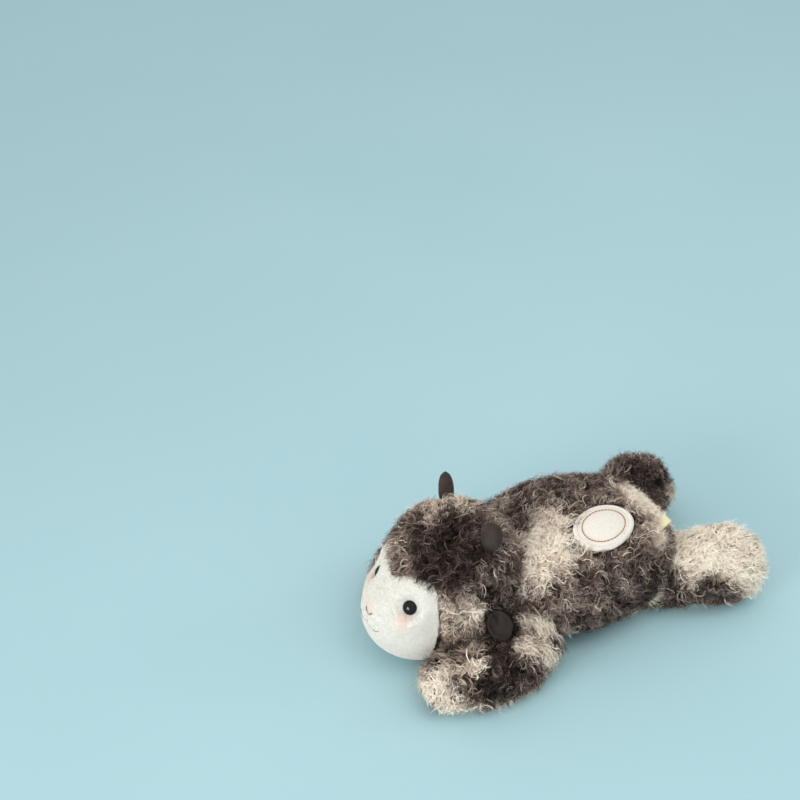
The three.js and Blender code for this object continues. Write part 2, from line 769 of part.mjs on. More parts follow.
// Badge: its plan is an oval, and it lies along the back at the seat gap
const badgeAcross = bodyHalves.x - badgeSideInset;
const badgeBack = bodyHalves.y - badgeRearInset;
const badgeTurn = degrees(badgeTurnDegrees);
function badgePlan(x, y) {
  const across = badgeAcross + x * Math.cos(badgeTurn) - y * Math.sin(badgeTurn);
  const back = badgeBack + x * Math.sin(badgeTurn) + y * Math.cos(badgeTurn);
  return new THREE.Vector2(across, back);
}

function badgeOutline(turn) {
  return new THREE.Vector2((badgeWidth / 2) * Math.cos(turn), (badgeLength / 2) * Math.sin(turn));
}

function badgeSolid() {
  const layer = (share, lift) => {
    const ring = [];
    for (let j = 0; j < badgeSides; j += 1) {
      const edge = badgeOutline((2 * Math.PI * j) / badgeSides).multiplyScalar(share);
      const plan = badgePlan(edge.x, edge.y);
      ring.push(new THREE.Vector3(plan.x, plan.y, backHeight(plan.x, plan.y) + lift));
    }
    return ring;
  };
  const rings = [];
  for (let i = 1; i <= badgeRings; i += 1) rings.push(layer(i / badgeRings, seatGap));
  for (let i = badgeRings; i >= 1; i -= 1) rings.push(layer(i / badgeRings, seatGap + badgeThickness));
  const middle = backHeight(badgeAcross, badgeBack);
  const low = new THREE.Vector3(badgeAcross, badgeBack, middle + seatGap);
  const high = low.clone().setZ(middle + seatGap + badgeThickness);
  return skinOver(low, rings, high);
}
addPiece('badge', badgeSolid(), 'felt');

// Care label: a satin strip folded into a loop, with both ends in the hip seam
function labelSolid() {
  const outer = labelFold / 2;
  const inner = outer - labelPly / 2;
  const loop = new THREE.Shape();
  loop.moveTo(0, -outer);
  loop.lineTo(labelLength - outer, -outer);
  loop.absarc(labelLength - outer, 0, outer, -Math.PI / 2, Math.PI / 2, false);
  loop.lineTo(0, outer);
  loop.lineTo(0, inner);
  loop.lineTo(labelLength - outer, inner);
  loop.absarc(labelLength - outer, 0, inner, Math.PI / 2, -Math.PI / 2, true);
  loop.lineTo(0, -inner);
  loop.closePath();
  const geometry = new THREE.ExtrudeGeometry(loop, {
    depth: labelWidth,
    bevelEnabled: false,
    curveSegments: labelBendSections,
  });
  geometry.translate(0, 0, -labelWidth / 2);
  const x = bodyHalves.x - labelSideInset;
  const y = bodyHalves.y - labelRearInset;
  const seat = new THREE.Vector3(x, y, backHeight(x, y));
  const lean = degrees(labelLeanDegrees);
  const along = new THREE.Vector3(0, Math.cos(lean), Math.sin(lean));
  const across = sideAxis.clone().negate();
  const through = new THREE.Vector3().crossVectors(across, along);
  geometry.applyMatrix4(new THREE.Matrix4().makeBasis(along, through, across).setPosition(seat));
  return solidOfGeometry(geometry).subtract(bodyTool);
}
addPiece('care_label', labelSolid(), 'satin');

export default sheep;
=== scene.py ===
# %% [markdown]
# # A lying plush sheep
#
# The real toy is a set of stuffed skins of curly pile, sewn together. It has a smooth
# face, two domed eyes, suede horns and ear linings, a felt badge and a satin label.
# The CAD model gives the cloth surface of each piece and the seams that it bends at.
# This lesson grows the pile, dyes it, and makes each small part of the face.
#
# The first step loads that model. Everything later rides on one of its bodies.

# %% Load the frame
import json
import math

import bpy
import numpy as np
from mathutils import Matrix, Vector
from mathutils.bvhtree import BVHTree

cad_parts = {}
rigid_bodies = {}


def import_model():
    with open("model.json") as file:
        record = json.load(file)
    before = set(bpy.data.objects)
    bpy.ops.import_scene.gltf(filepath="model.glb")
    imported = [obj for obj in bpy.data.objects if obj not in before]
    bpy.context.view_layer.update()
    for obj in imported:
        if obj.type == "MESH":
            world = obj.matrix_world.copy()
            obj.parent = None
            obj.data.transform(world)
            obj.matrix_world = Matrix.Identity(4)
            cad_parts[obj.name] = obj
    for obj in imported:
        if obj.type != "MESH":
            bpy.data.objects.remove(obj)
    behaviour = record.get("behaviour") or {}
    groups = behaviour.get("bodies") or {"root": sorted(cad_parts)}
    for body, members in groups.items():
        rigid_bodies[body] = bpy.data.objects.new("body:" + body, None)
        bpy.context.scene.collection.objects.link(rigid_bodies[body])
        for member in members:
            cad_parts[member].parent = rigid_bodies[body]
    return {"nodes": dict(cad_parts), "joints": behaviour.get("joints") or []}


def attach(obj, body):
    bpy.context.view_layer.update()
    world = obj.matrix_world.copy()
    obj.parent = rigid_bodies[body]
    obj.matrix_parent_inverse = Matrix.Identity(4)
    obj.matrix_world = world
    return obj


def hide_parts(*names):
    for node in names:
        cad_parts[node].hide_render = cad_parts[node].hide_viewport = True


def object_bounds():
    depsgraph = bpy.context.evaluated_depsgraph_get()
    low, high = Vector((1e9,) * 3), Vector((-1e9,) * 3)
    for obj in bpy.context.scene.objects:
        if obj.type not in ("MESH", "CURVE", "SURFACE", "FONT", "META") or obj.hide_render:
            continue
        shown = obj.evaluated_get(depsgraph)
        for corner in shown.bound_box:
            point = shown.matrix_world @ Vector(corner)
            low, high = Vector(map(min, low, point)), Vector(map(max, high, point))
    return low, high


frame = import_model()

MM = 0.001
cad_low, cad_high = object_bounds()
joint_place = {joint["child"]: Vector(joint["pos_m"]) for joint in frame["joints"]}
print("CAD box in mm:", [round(side / MM) for side in cad_high - cad_low])

# %% [markdown]
# ## Camera
#
# The photograph looks down on the sheep from its left front, from fairly far away.
# A long lens keeps the toy free of strong perspective. The camera is placed by where
# it stands and by two turns: round the upright, and down from level.

# %% Camera
camera_place = Vector((0.868, -0.604, 0.849))
camera_turn_degrees = 62.7
camera_dip_degrees = 31.8
view_angle_degrees = 29.0

camera_data = bpy.data.cameras.new("camera")
camera_data.angle = math.radians(view_angle_degrees)
camera = bpy.data.objects.new("camera", camera_data)
camera.location = camera_place
upright = math.radians(90 - camera_dip_degrees)
camera.rotation_euler = (upright, 0, math.radians(camera_turn_degrees))
bpy.context.scene.collection.objects.link(camera)
bpy.context.scene.camera = camera
print("lens:", round(camera_data.lens, 1), "mm")

# %% [markdown]
# ## Studio
#
# A plain pale blue floor runs out of sight on all sides. The light is soft: a bright
# even room, a large lamp high on the right and one low in front. Together they light
# a white card to just about white, so colours show as they are written. The front lamp
# has a grid, a narrower spread, that keeps its light off the floor close to it. A small
# weak lamp behind on the right only adds the glint at the edge of each eye. Sun or spot
# lamps would be simpler, but only wide area lamps give the shadows such soft edges.

# %% Small helpers for materials
def linear(red, green, blue):
    """A colour as a paint chart gives it, 0 to 255, in the numbers that shaders use."""
    def one(value):
        share = value / 255
        return share / 12.92 if share <= 0.04045 else ((share + 0.055) / 1.055) ** 2.4
    return (one(red), one(green), one(blue), 1)


def new_material(name, roughness, specular=0.5, sheen=0):
    material = bpy.data.materials.new(name)
    material.use_nodes = True
    tree = material.node_tree
    shader = tree.nodes["Principled BSDF"]
    shader.inputs["Roughness"].default_value = roughness
    shader.inputs["Specular IOR Level"].default_value = specular
    shader.inputs["Sheen Weight"].default_value = sheen
    return material, tree, shader


def add_node(tree, kind, inputs=None, **settings):
    """A node with its settings, and its inputs given as values or as other outputs."""
    node = tree.nodes.new(kind)
    for name, value in settings.items():
        setattr(node, name, value)
    for name, value in (inputs or {}).items():
        if isinstance(value, bpy.types.NodeSocket):
            tree.links.new(value, node.inputs[name])
        else:
            node.inputs[name].default_value = value
    return node


def add_ramp(tree, factor, stops):
    """A colour ramp through (place, colour) stops."""
    node = add_node(tree, "ShaderNodeValToRGB", {"Fac": factor})
    elements = node.color_ramp.elements
    while len(elements) < len(stops):
        elements.new(0.5)
    for element, (place, colour) in zip(elements, stops):
        element.position = place
        element.color = colour
    return node.outputs["Color"]


def add_noise(tree, scale, detail=2.0):
    """Noise that keeps to the object's own place, scale in waves for each metre."""
    place = add_node(tree, "ShaderNodeTexCoord").outputs["Object"]
    wanted = {"Vector": place, "Scale": scale, "Detail": detail}
    return add_node(tree, "ShaderNodeTexNoise", wanted)


def add_bump(tree, shader, height, distance):
    wanted = {"Height": height, "Distance": distance, "Strength": 1.0}
    bump = add_node(tree, "ShaderNodeBump", wanted)
    tree.links.new(bump.outputs["Normal"], shader.inputs["Normal"])


def mottled_material(name, dark, light, scale, detail=2.0, stops=(0.3, 0.7), bump=0,
                     bump_noise=None, **levels):
    """Two colours that run into each other over noise, which can also give relief."""
    material, tree, shader = new_material(name, **levels)
    grain = add_noise(tree, scale, detail).outputs["Fac"]
    colour = add_ramp(tree, grain, list(zip(stops, (dark, light))))
    tree.links.new(colour, shader.inputs["Base Color"])
    if bump_noise:
        grain = add_noise(tree, *bump_noise).outputs["Fac"]
    if bump:
        add_bump(tree, shader, grain, bump)
    return material


print("a mid grey of 128 is", round(linear(128, 128, 128)[0], 3), "to a shader")

# %% Floor
floor_reach = 3.0

floor_mesh = bpy.data.meshes.new("floor")
corners = [(x * floor_reach, y * floor_reach, 0)
           for x, y in ((-1, -1), (1, -1), (1, 1), (-1, 1))]
floor_mesh.from_pydata(corners, [], [(0, 1, 2, 3)])
floor = bpy.data.objects.new("floor", floor_mesh)
bpy.context.scene.collection.objects.link(floor)
floor_mesh.materials.append(mottled_material(
    "floor paint", linear(170, 207, 215), linear(173, 209, 217), scale=3.0,
    roughness=0.9, specular=0.1))
print("floor:", 2 * floor_reach, "m wide")

# %% Room and lamps
world = bpy.data.worlds.new("room")
bpy.context.scene.world = world
world.use_nodes = True
room = world.node_tree.nodes["Background"]
room.inputs["Color"].default_value = (1.0, 0.99, 0.98, 1)
room.inputs["Strength"].default_value = 0.82


def add_lamp(name, place, target, side, watts, colour, spread_degrees=180):
    data = bpy.data.lights.new(name, "AREA")
    data.size = side
    data.spread = math.radians(spread_degrees)
    data.energy = watts
    data.color = colour
    lamp = bpy.data.objects.new(name, data)
    lamp.location = place
    lamp.rotation_euler = (Vector(target) - Vector(place)).to_track_quat("-Z", "Y").to_euler()
    bpy.context.scene.collection.objects.link(lamp)


middle = (cad_low + cad_high) / 2
add_lamp("key lamp", (0.6, 0.3, 1.7), middle, side=1.2, watts=5.5, colour=(1.0, 0.98, 0.95))
add_lamp("front lamp", (0.7, -1.9, 0.5), middle, side=0.9, watts=3.7,
         colour=(1.0, 0.97, 0.94), spread_degrees=60)
add_lamp("glint lamp", (0.45, 1.25, 0.85), middle, side=0.16, watts=1.2,
         colour=(1.0, 1.0, 1.0))
bpy.context.scene.view_settings.view_transform = "Standard"
print("lamps:", ", ".join(f"{lamp.name} {lamp.energy:.1f} W" for lamp in bpy.data.lights))

# %% [markdown]
# ## Skins
#
# Each stuffed piece needs a smooth cloth skin for the pile to grow from. The CAD
# solids are trimmed where they meet, so that nothing overlaps at any pose. Real skins
# are sewn together there. A ball at each joint, or an egg in the skull, fills the
# trimmed side again. Solid and ball are melted into one form by a voxel remesh, which
# a smoothing pass then evens. The skins could also be sculpted by hand, but this way
# they keep the measured size of the solids.

# %% Mesh helpers
def add_object(name, mesh, material=None, body=None):
    piece = bpy.data.objects.new(name, mesh)
    bpy.context.scene.collection.objects.link(piece)
    if material:
        mesh.materials.append(material)
    if body:
        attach(piece, body)
    return piece


def mesh_of(name, points, faces):
    """A smooth-shaded mesh from arrays of points and of equal-sided faces."""
    mesh = bpy.data.meshes.new(name)
    count, sides = faces.shape
    mesh.vertices.add(len(points))
    mesh.vertices.foreach_set("co", points.astype(np.float32).ravel())
    mesh.loops.add(count * sides)
    mesh.loops.foreach_set("vertex_index", faces.astype(np.int32).ravel())
    mesh.polygons.add(count)
    mesh.polygons.foreach_set("loop_start", np.arange(0, count * sides, sides, dtype=np.int32))
    mesh.polygons.foreach_set("use_smooth", np.ones(count, bool))
    mesh.update(calc_edges=True)
    return mesh


def points_of(mesh):
    points = np.zeros(len(mesh.vertices) * 3)
    mesh.vertices.foreach_get("co", points)
    return points.reshape(-1, 3)


def move_points(mesh, points):
    mesh.vertices.foreach_set("co", points.astype(np.float32).ravel())
    mesh.update()


def triangles_of(mesh):
    mesh.calc_loop_triangles()
    faces = np.zeros(len(mesh.loop_triangles) * 3, np.int32)
    mesh.loop_triangles.foreach_get("vertices", faces)
    return faces.reshape(-1, 3)


def node_arrays(node):
    """Points and triangles of a CAD node."""
    mesh = frame["nodes"][node].data
    return points_of(mesh), triangles_of(mesh)


def joined(parts):
    """Several (points, faces) pairs as one."""
    points, faces, count = [], [], 0
    for part_points, part_faces in parts:
        points.append(part_points)
        faces.append(part_faces + count)
        count += len(part_points)
    return np.vstack(points), np.vstack(faces)


print("head of the CAD model:", len(node_arrays("head")[1]), "triangles")

# %% Closed forms
def ball_arrays(middle, halves, rings=24, sides=32):
    """Points and triangles of an egg."""
    turns = np.linspace(0, np.pi, rings + 1)[1:-1]
    rounds = np.arange(sides) * 2 * np.pi / sides
    across, around = np.meshgrid(turns, rounds, indexing="ij")
    shell = np.stack([np.sin(across) * np.cos(around),
                      np.sin(across) * np.sin(around), np.cos(across)], -1).reshape(-1, 3)
    points = np.vstack([shell, [[0, 0, 1], [0, 0, -1]]]) * halves + middle
    top, low = len(points) - 2, len(points) - 1
    faces = []
    for j in range(sides):
        k = (j + 1) % sides
        faces.append((top, j, k))
        faces.append((low, (rings - 2) * sides + k, (rings - 2) * sides + j))
        for i in range(rings - 2):
            here, there = i * sides, (i + 1) * sides
            faces.append((here + j, there + j, there + k))
            faces.append((here + j, there + k, here + k))
    return points, np.array(faces)


def melted(name, parts, voxel, smoothing):
    """One closed smooth mesh from several overlapping closed forms."""
    rough = add_object(name, mesh_of(name, *joined(parts)))
    remesh = rough.modifiers.new("melt", "REMESH")
    remesh.mode = "VOXEL"
    remesh.voxel_size = voxel
    remesh.use_smooth_shade = True
    even = rough.modifiers.new("even", "SMOOTH")
    even.factor = 0.5
    even.iterations = smoothing
    graph = bpy.context.evaluated_depsgraph_get()
    mesh = bpy.data.meshes.new_from_object(rough.evaluated_get(graph))
    bpy.data.objects.remove(rough)
    mesh.name = name
    return mesh


print("a ball has", len(ball_arrays(np.zeros(3), 1)[0]), "points")

# %% Forms of the stuffed pieces
skull_middle = np.array([0, -108, 70]) * MM
skull_halves = np.array([55, 53, 52]) * MM
skin_voxel = 2.2 * MM
ear_voxel = 0.9 * MM
skin_smoothing = 6
ear_root_ball = 5 * MM
floor_sink = 0.5 * MM
tail_root_ball = 9 * MM


def skin_form(node):
    parts = [node_arrays(node)]
    voxel = skin_voxel
    if node == "head":
        parts.append(ball_arrays(skull_middle, skull_halves))
    elif "leg" in node:
        hip = np.array(joint_place[node])
        parts.append(ball_arrays(hip, hip[2] + floor_sink))
    elif node == "tail":
        parts.append(ball_arrays(np.array(joint_place[node]), tail_root_ball))
    elif "ear" in node:
        voxel = ear_voxel
        parts.append(ball_arrays(np.array(joint_place[node]), ear_root_ball))
    mesh = melted(node + "_skin", parts, voxel, skin_smoothing)
    points = points_of(mesh)
    points[:, 2] = np.maximum(points[:, 2], 0)
    move_points(mesh, points)
    return mesh


pile_nodes = ["body", "head", "ear_left", "ear_right", "foreleg_left", "foreleg_right",
              "hindleg_left", "hindleg_right", "tail"]
skins = {node: skin_form(node) for node in pile_nodes}
for node, mesh in skins.items():
    print(node, "skin:", len(mesh.polygons), "faces")

# %% [markdown]
# ## Dyeing
#
# The real pile is dyed in patches: dark brown, grey-brown, beige and cream run into
# each other with torn edges. Each patch is written as a place and a reach in mm, and a
# tone from 0, dark, to 1, cream. Waves of many directions and lengths break up the
# edges. One function gives skin and wisps their tone, so the two always agree. The dye
# could be painted on an image too, but a list has no seams and is easier to change.

# %% Waves that serve as smooth noise
def wave_set(seed, length, count=9):
    """Random directions, lengths near the one given, and starts."""
    draw = np.random.default_rng(seed)
    ways = draw.normal(size=(count, 3))
    ways /= np.linalg.norm(ways, axis=1)[:, None]
    ways *= (2 * np.pi / length) * draw.uniform(0.6, 1.5, count)[:, None]
    return ways, draw.uniform(0, 2 * np.pi, count)


def waves(points, chosen):
    """Smooth noise about 0, mostly within -1 and 1."""
    ways, starts = chosen
    return np.sin(points @ ways.T + starts).sum(1) / math.sqrt(len(starts) / 1.4)


def eased(share):
    """A share held between 0 and 1, with soft ends."""
    share = np.clip(share, 0, 1)
    return share * share * (3 - 2 * share)


heights = waves(points_of(skins["body"]), wave_set(1, 30 * MM))
print("noise over the body: from", round(heights.min(), 1), "to", round(heights.max(), 1))

# %% Patches of colour
# each piece has a base tone and its patches, written as x, y, z, reach and tone
blotches = {
    "body": (0.31, [
        (30, -38, 87, 30, 0.97), (14, -24, 92, 20, 0.75), (41, -58, 76, 18, 0.9),
        (34, -14, 90, 14, 0.8), (16, -52, 86, 15, 0.88), (0, 64, 82, 21, 0.97),
        (17, 72, 78, 18, 0.97), (21, 55, 84, 15, 0.78), (45, 58, 76, 15, 0.8),
        (60, -30, 60, 26, 0.24), (64, 5, 60, 26, 0.24), (66, 38, 45, 24, 0.08),
        (68, -4, 30, 24, 0.2), (-33, 0, 91, 34, 0.19), (-27, 41, 88, 26, 0.27),
        (-50, -30, 80, 28, 0.3), (60, -46, 24, 14, 0.75), (-58, 30, 45, 28, 0.8),
    ]),
    "head": (0.3, [
        (22, -124, 114, 33, 0.02), (33, -137, 99, 20, 0.03), (38, -112, 106, 18, 0.05),
        (4, -124, 119, 18, 0.08), (-25, -114, 117, 22, 0.52), (-10, -100, 122, 15, 0.56),
        (-30, -86, 108, 19, 0.9), (5, -154, 94, 14, 0.34), (-17, -150, 97, 12, 0.5),
        (50, -106, 92, 8, 0.8), (47, -135, 72, 18, 0.5), (53, -119, 61, 16, 0.72),
        (43, -143, 50, 14, 0.54), (44, -128, 28, 22, 0.48), (53, -100, 83, 13, 0.1),
        (52, -88, 68, 15, 0.14), (32, -82, 106, 16, 0.24), (-46, -128, 66, 30, 0.6),
    ]),
    "ear_left": (0.05, []),
    "ear_right": (0.2, []),
    "foreleg_left": (0.3, [
        (80, -162, 26, 22, 0.76), (66, -165, 26, 19, 0.76), (83, -150, 36, 11, 0.76),
        (96, -122, 30, 28, 0.0), (84, -118, 42, 20, 0.02), (98, -104, 30, 14, 0.1),
        (104, -122, 7, 17, 0.95), (95, -142, 8, 17, 0.9), (72, -62, 40, 20, 0.97),
        (85, -68, 26, 18, 0.95), (84, -84, 40, 13, 0.8), (68, -130, 40, 13, 0.45),
        (76, -143, 41, 10, 0.6), (84, -136, 39, 6, 0.75), (98, -106, 4, 13, 0.85),
        (95, -90, 5, 12, 0.8),
    ]),
    "foreleg_right": (0.4, [
        (-80, -116, 30, 40, 0.3), (-50, -56, 30, 30, 0.8),
    ]),
    "hindleg_left": (0.86, [
        (56, 104, 54, 34, 1.0), (82, 129, 46, 20, 0.86), (60, 135, 57, 16, 0.9),
        (62, 66, 32, 18, 0.18), (74, 92, 20, 22, 0.14), (70, 80, 12, 18, 0.18),
        (52, 64, 10, 20, 0.18), (84, 108, 14, 23, 0.14), (80, 124, 6, 15, 0.35),
    ]),
    "hindleg_right": (0.32, [
        (-53, 111, 56, 24, 0.04), (-45, 122, 48, 16, 0.06), (-72, 101, 53, 14, 0.25),
        (-48, 142, 33, 12, 0.6), (-62, 140, 22, 15, 0.62),
    ]),
    "tail": (0.8, []),
}
edge_waves = wave_set(11, 30 * MM)
patch_waves = wave_set(12, 16 * MM)
fine_waves = wave_set(13, 6 * MM)
edge_tear, patch_tear = 0.22, 0.14
patch_core, patch_fall = 1.6, 1.35
patch_mottle, fine_mottle = 0.10, 0.08


def tone_at(node, points):
    """Tone of the dye, 0 to 1, at places on a stuffed piece."""
    base, patches = blotches[node]
    tone = np.full(len(points), base)
    torn = edge_tear * waves(points, edge_waves), patch_tear * waves(points, patch_waves)
    ragged = 1 + torn[0] + torn[1]
    for *place, reach, wanted in patches:
        away = np.linalg.norm(points - np.array(place) * MM, axis=1) / (reach * MM * ragged)
        tone += (wanted - tone) * eased(patch_core - patch_fall * away)
    mottle = patch_mottle * waves(points, patch_waves) + fine_mottle * waves(points, fine_waves)

    # the darkest dye is even, so it is hardly mottled
    return np.clip(tone + mottle * np.clip(0.25 + 3 * tone, 0, 1), 0, 1)


for node, mesh in skins.items():
    print(node, "mean tone:", round(tone_at(node, points_of(mesh)).mean(), 2))

# %% [markdown]
# ## Pile material
#
# The tone picks a colour from dark brown through grey-brown and beige to cream. Along
# each strand the root is darker, painted shade for the shadow deep in the pile, and the
# tip is bleached, which gives the real pile its frosted look. The skin under it takes
# the same dye but darker colours for each tone, painted shade for the gaps between wisps.
# Each ribbon carries its tone and its run from root to tip in its map, so one material
# serves all of them.

# %% Colour tables
tone_stops = [
    (0.00, linear(20, 12, 9)),
    (0.18, linear(60, 46, 41)),
    (0.36, linear(110, 92, 85)),
    (0.55, linear(176, 155, 140)),
    (0.75, linear(240, 222, 202)),
    (1.00, linear(255, 248, 232)),
]
tip_stops = [
    (0.00, linear(60, 46, 40)),
    (0.12, linear(120, 102, 94)),
    (0.30, linear(190, 172, 162)),
    (0.60, linear(240, 228, 216)),
    (1.00, linear(255, 253, 247)),
]
# the backing's dye, darker than the pile's for the same tone: painted shade for the gaps between
# the wisps
shaded_backing_stops = [
    (0.00, linear(20, 13, 10)),
    (0.36, linear(70, 57, 52)),
    (0.75, linear(226, 206, 186)),
    (1.00, linear(250, 236, 216)),
]
frost_stops = [(0.35, (0, 0, 0, 1)), (1.0, (0.9, 0.9, 0.9, 1))]
# painted shade: each strand is darker towards its root, for the shadow deep in the pile
root_shade_stops = [(0.0, (0.25, 0.25, 0.25, 1)), (0.5, (1, 1, 1, 1))]
print("pile ramp stops:", len(tone_stops), "for the strand and", len(tip_stops), "for its tip")

# %% Pile material
MAP_NAME = "OFBake"


def mixed(tree, factor, first, second):
    """Two colours mixed by a factor, each given as a colour or as an output."""
    node = add_node(tree, "ShaderNodeMix", data_type="RGBA")
    for socket, value in zip((node.inputs[0], node.inputs[6], node.inputs[7]),
                             (factor, first, second)):
        if isinstance(value, bpy.types.NodeSocket):
            tree.links.new(value, socket)
        else:
            socket.default_value = value
    return node.outputs[2]


def multiplied(tree, first, second):
    """Two colours multiplied, both given as outputs."""
    node = add_node(tree, "ShaderNodeMix", data_type="RGBA", blend_type="MULTIPLY")
    node.inputs[0].default_value = 1
    tree.links.new(first, node.inputs[6])
    tree.links.new(second, node.inputs[7])
    return node.outputs[2]


def pile_material():
    """Tone runs along the map's first way, and root to tip along its second."""
    material, tree, shader = new_material("curly pile", roughness=0.62, specular=0.15)
    place = add_node(tree, "ShaderNodeUVMap", uv_map=MAP_NAME).outputs["UV"]
    split = add_node(tree, "ShaderNodeSeparateXYZ", {"Vector": place})
    tone, along = split.outputs["X"], split.outputs["Y"]
    body = add_ramp(tree, tone, tone_stops)
    tip = add_ramp(tree, tone, tip_stops)
    frost = add_ramp(tree, along, frost_stops)
    # painted shade along each strand, darkest at its root
    shade = add_ramp(tree, along, root_shade_stops)
    frosted = mixed(tree, frost, body, tip)

    # pale pile lets light through to its roots, so its painted root shade is weaker
    shade = mixed(tree, tone, shade, (1, 1, 1, 1))
    tree.links.new(multiplied(tree, frosted, shade), shader.inputs["Base Color"])
    return material


pile = pile_material()
print(pile.name, "has", len(pile.node_tree.nodes), "nodes")

# %% Skins under the pile
def skin_material():
    material, tree, shader = new_material("pile backing", roughness=0.9, specular=0.2)
    tone = add_node(tree, "ShaderNodeAttribute", attribute_name="tone").outputs["Fac"]
    knit = add_noise(tree, 900.0, 3.0)
    # painted shade: the backing takes the dye darker than the pile does, for the shadow between
    # the wisps
    shaded_dye = add_ramp(tree, tone, shaded_backing_stops)
    fleck = add_ramp(tree, knit.outputs["Fac"], [
        (0.35, (0.55, 0.55, 0.55, 1)),
        (0.65, (1, 1, 1, 1)),
    ])
    mottled = multiplied(tree, shaded_dye, fleck)
    tree.links.new(mottled, shader.inputs["Base Color"])
    add_bump(tree, shader, knit.outputs["Fac"], 0.6 * MM)
    return material


backing = skin_material()
for node, mesh in skins.items():
    tones = mesh.attributes.new("tone", "FLOAT", "POINT")
    tones.data.foreach_set("value", tone_at(node, points_of(mesh)).astype(np.float32))
    skin = add_object(node + "_skin", mesh, backing, node)
    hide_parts(node)
print("skins:", len(skins))

# %% [markdown]
# ## Growing the pile
#
# The pile is a curly mohair: fine fibres that lie in short wavy wisps, every wisp
# turned its own way. Blender's hair curves would look right here, but a hair curve is
# not a mesh and can't be kept with the part. So each wisp is built as a few narrow
# ribbons that share one curl and close up towards the tip. All wisps are made at once
# with arrays, because a loop over all the ribbons would take far too long.

# %% Places for the wisps
def surface_arrays(mesh):
    """Corners and corner normals of a mesh's triangles."""
    faces = triangles_of(mesh)
    normals = np.zeros(len(mesh.vertices) * 3, np.float32)
    mesh.vertex_normals.foreach_get("vector", normals)
    return points_of(mesh)[faces], normals.reshape(-1, 3)[faces]


def scattered(mesh, spacing, draw):
    """Random places on a mesh, one for each spacing squared of its area, with normals."""
    corners, normals = surface_arrays(mesh)
    crossed = np.cross(corners[:, 1] - corners[:, 0], corners[:, 2] - corners[:, 0])
    areas = np.linalg.norm(crossed, axis=1) / 2
    count = int(areas.sum() / spacing ** 2)
    chosen = draw.choice(len(areas), count, p=areas / areas.sum())
    first = np.sqrt(draw.uniform(size=count))[:, None]
    second = draw.uniform(size=count)[:, None]
    weights = np.stack([1 - first, first * (1 - second), first * second], 1)
    places = (corners[chosen] * weights).sum(1)
    facing = (normals[chosen] * weights).sum(1)
    return places, facing / np.linalg.norm(facing, axis=1)[:, None]


trial = scattered(skins["body"], 10 * MM, np.random.default_rng(1))[0]
print("the body's skin has", len(trial), "square cm")

# %% Distances to a surface
def tree_of(mesh):
    """A search tree over a mesh's triangles."""
    return BVHTree.FromPolygons(points_of(mesh).tolist(), triangles_of(mesh).tolist())


def distance_to(tree, places):
    """How far each place is from a surface, negative inside it."""
    found = np.zeros(len(places))
    for i, place in enumerate(places.tolist()):
        near, normal, _, away = tree.find_nearest(place)
        found[i] = away if (Vector(place) - near).dot(normal) >= 0 else -away
    return found


cad_trees = {name: tree_of(node.data) for name, node in frame["nodes"].items()}
skin_trees = {node: tree_of(skins[node]) for node in pile_nodes}
nearest = np.abs(distance_to(cad_trees["badge"], points_of(skins["body"]))).min()
print("from the badge to the body's skin:", round(nearest / MM, 2), "mm")

# %% Ribbons of one wisp after another
wool = {"strands": 5, "steps": 8, "radius": 0.75 * MM, "width": 0.36 * MM,
        "turns": (0.3, 0.9), "swing": (0.8, 1.5)}
loose_curls = {"strands": 2, "steps": 12, "radius": 0.25 * MM, "width": 0.36 * MM,
               "turns": (0.4, 1.2), "swing": (0.9, 1.6)}
phase_spread, turn_spread, ribbon_tone_spread = 0.14, 0.05, 0.04
root_depth_in_mm = 0.4
floor_gap = 0.3 * MM
ribbon_roll = 0.35
map_half_width = 0.004


def normalised(vectors):
    return vectors / np.maximum(np.linalg.norm(vectors, axis=-1, keepdims=True), 1e-9)


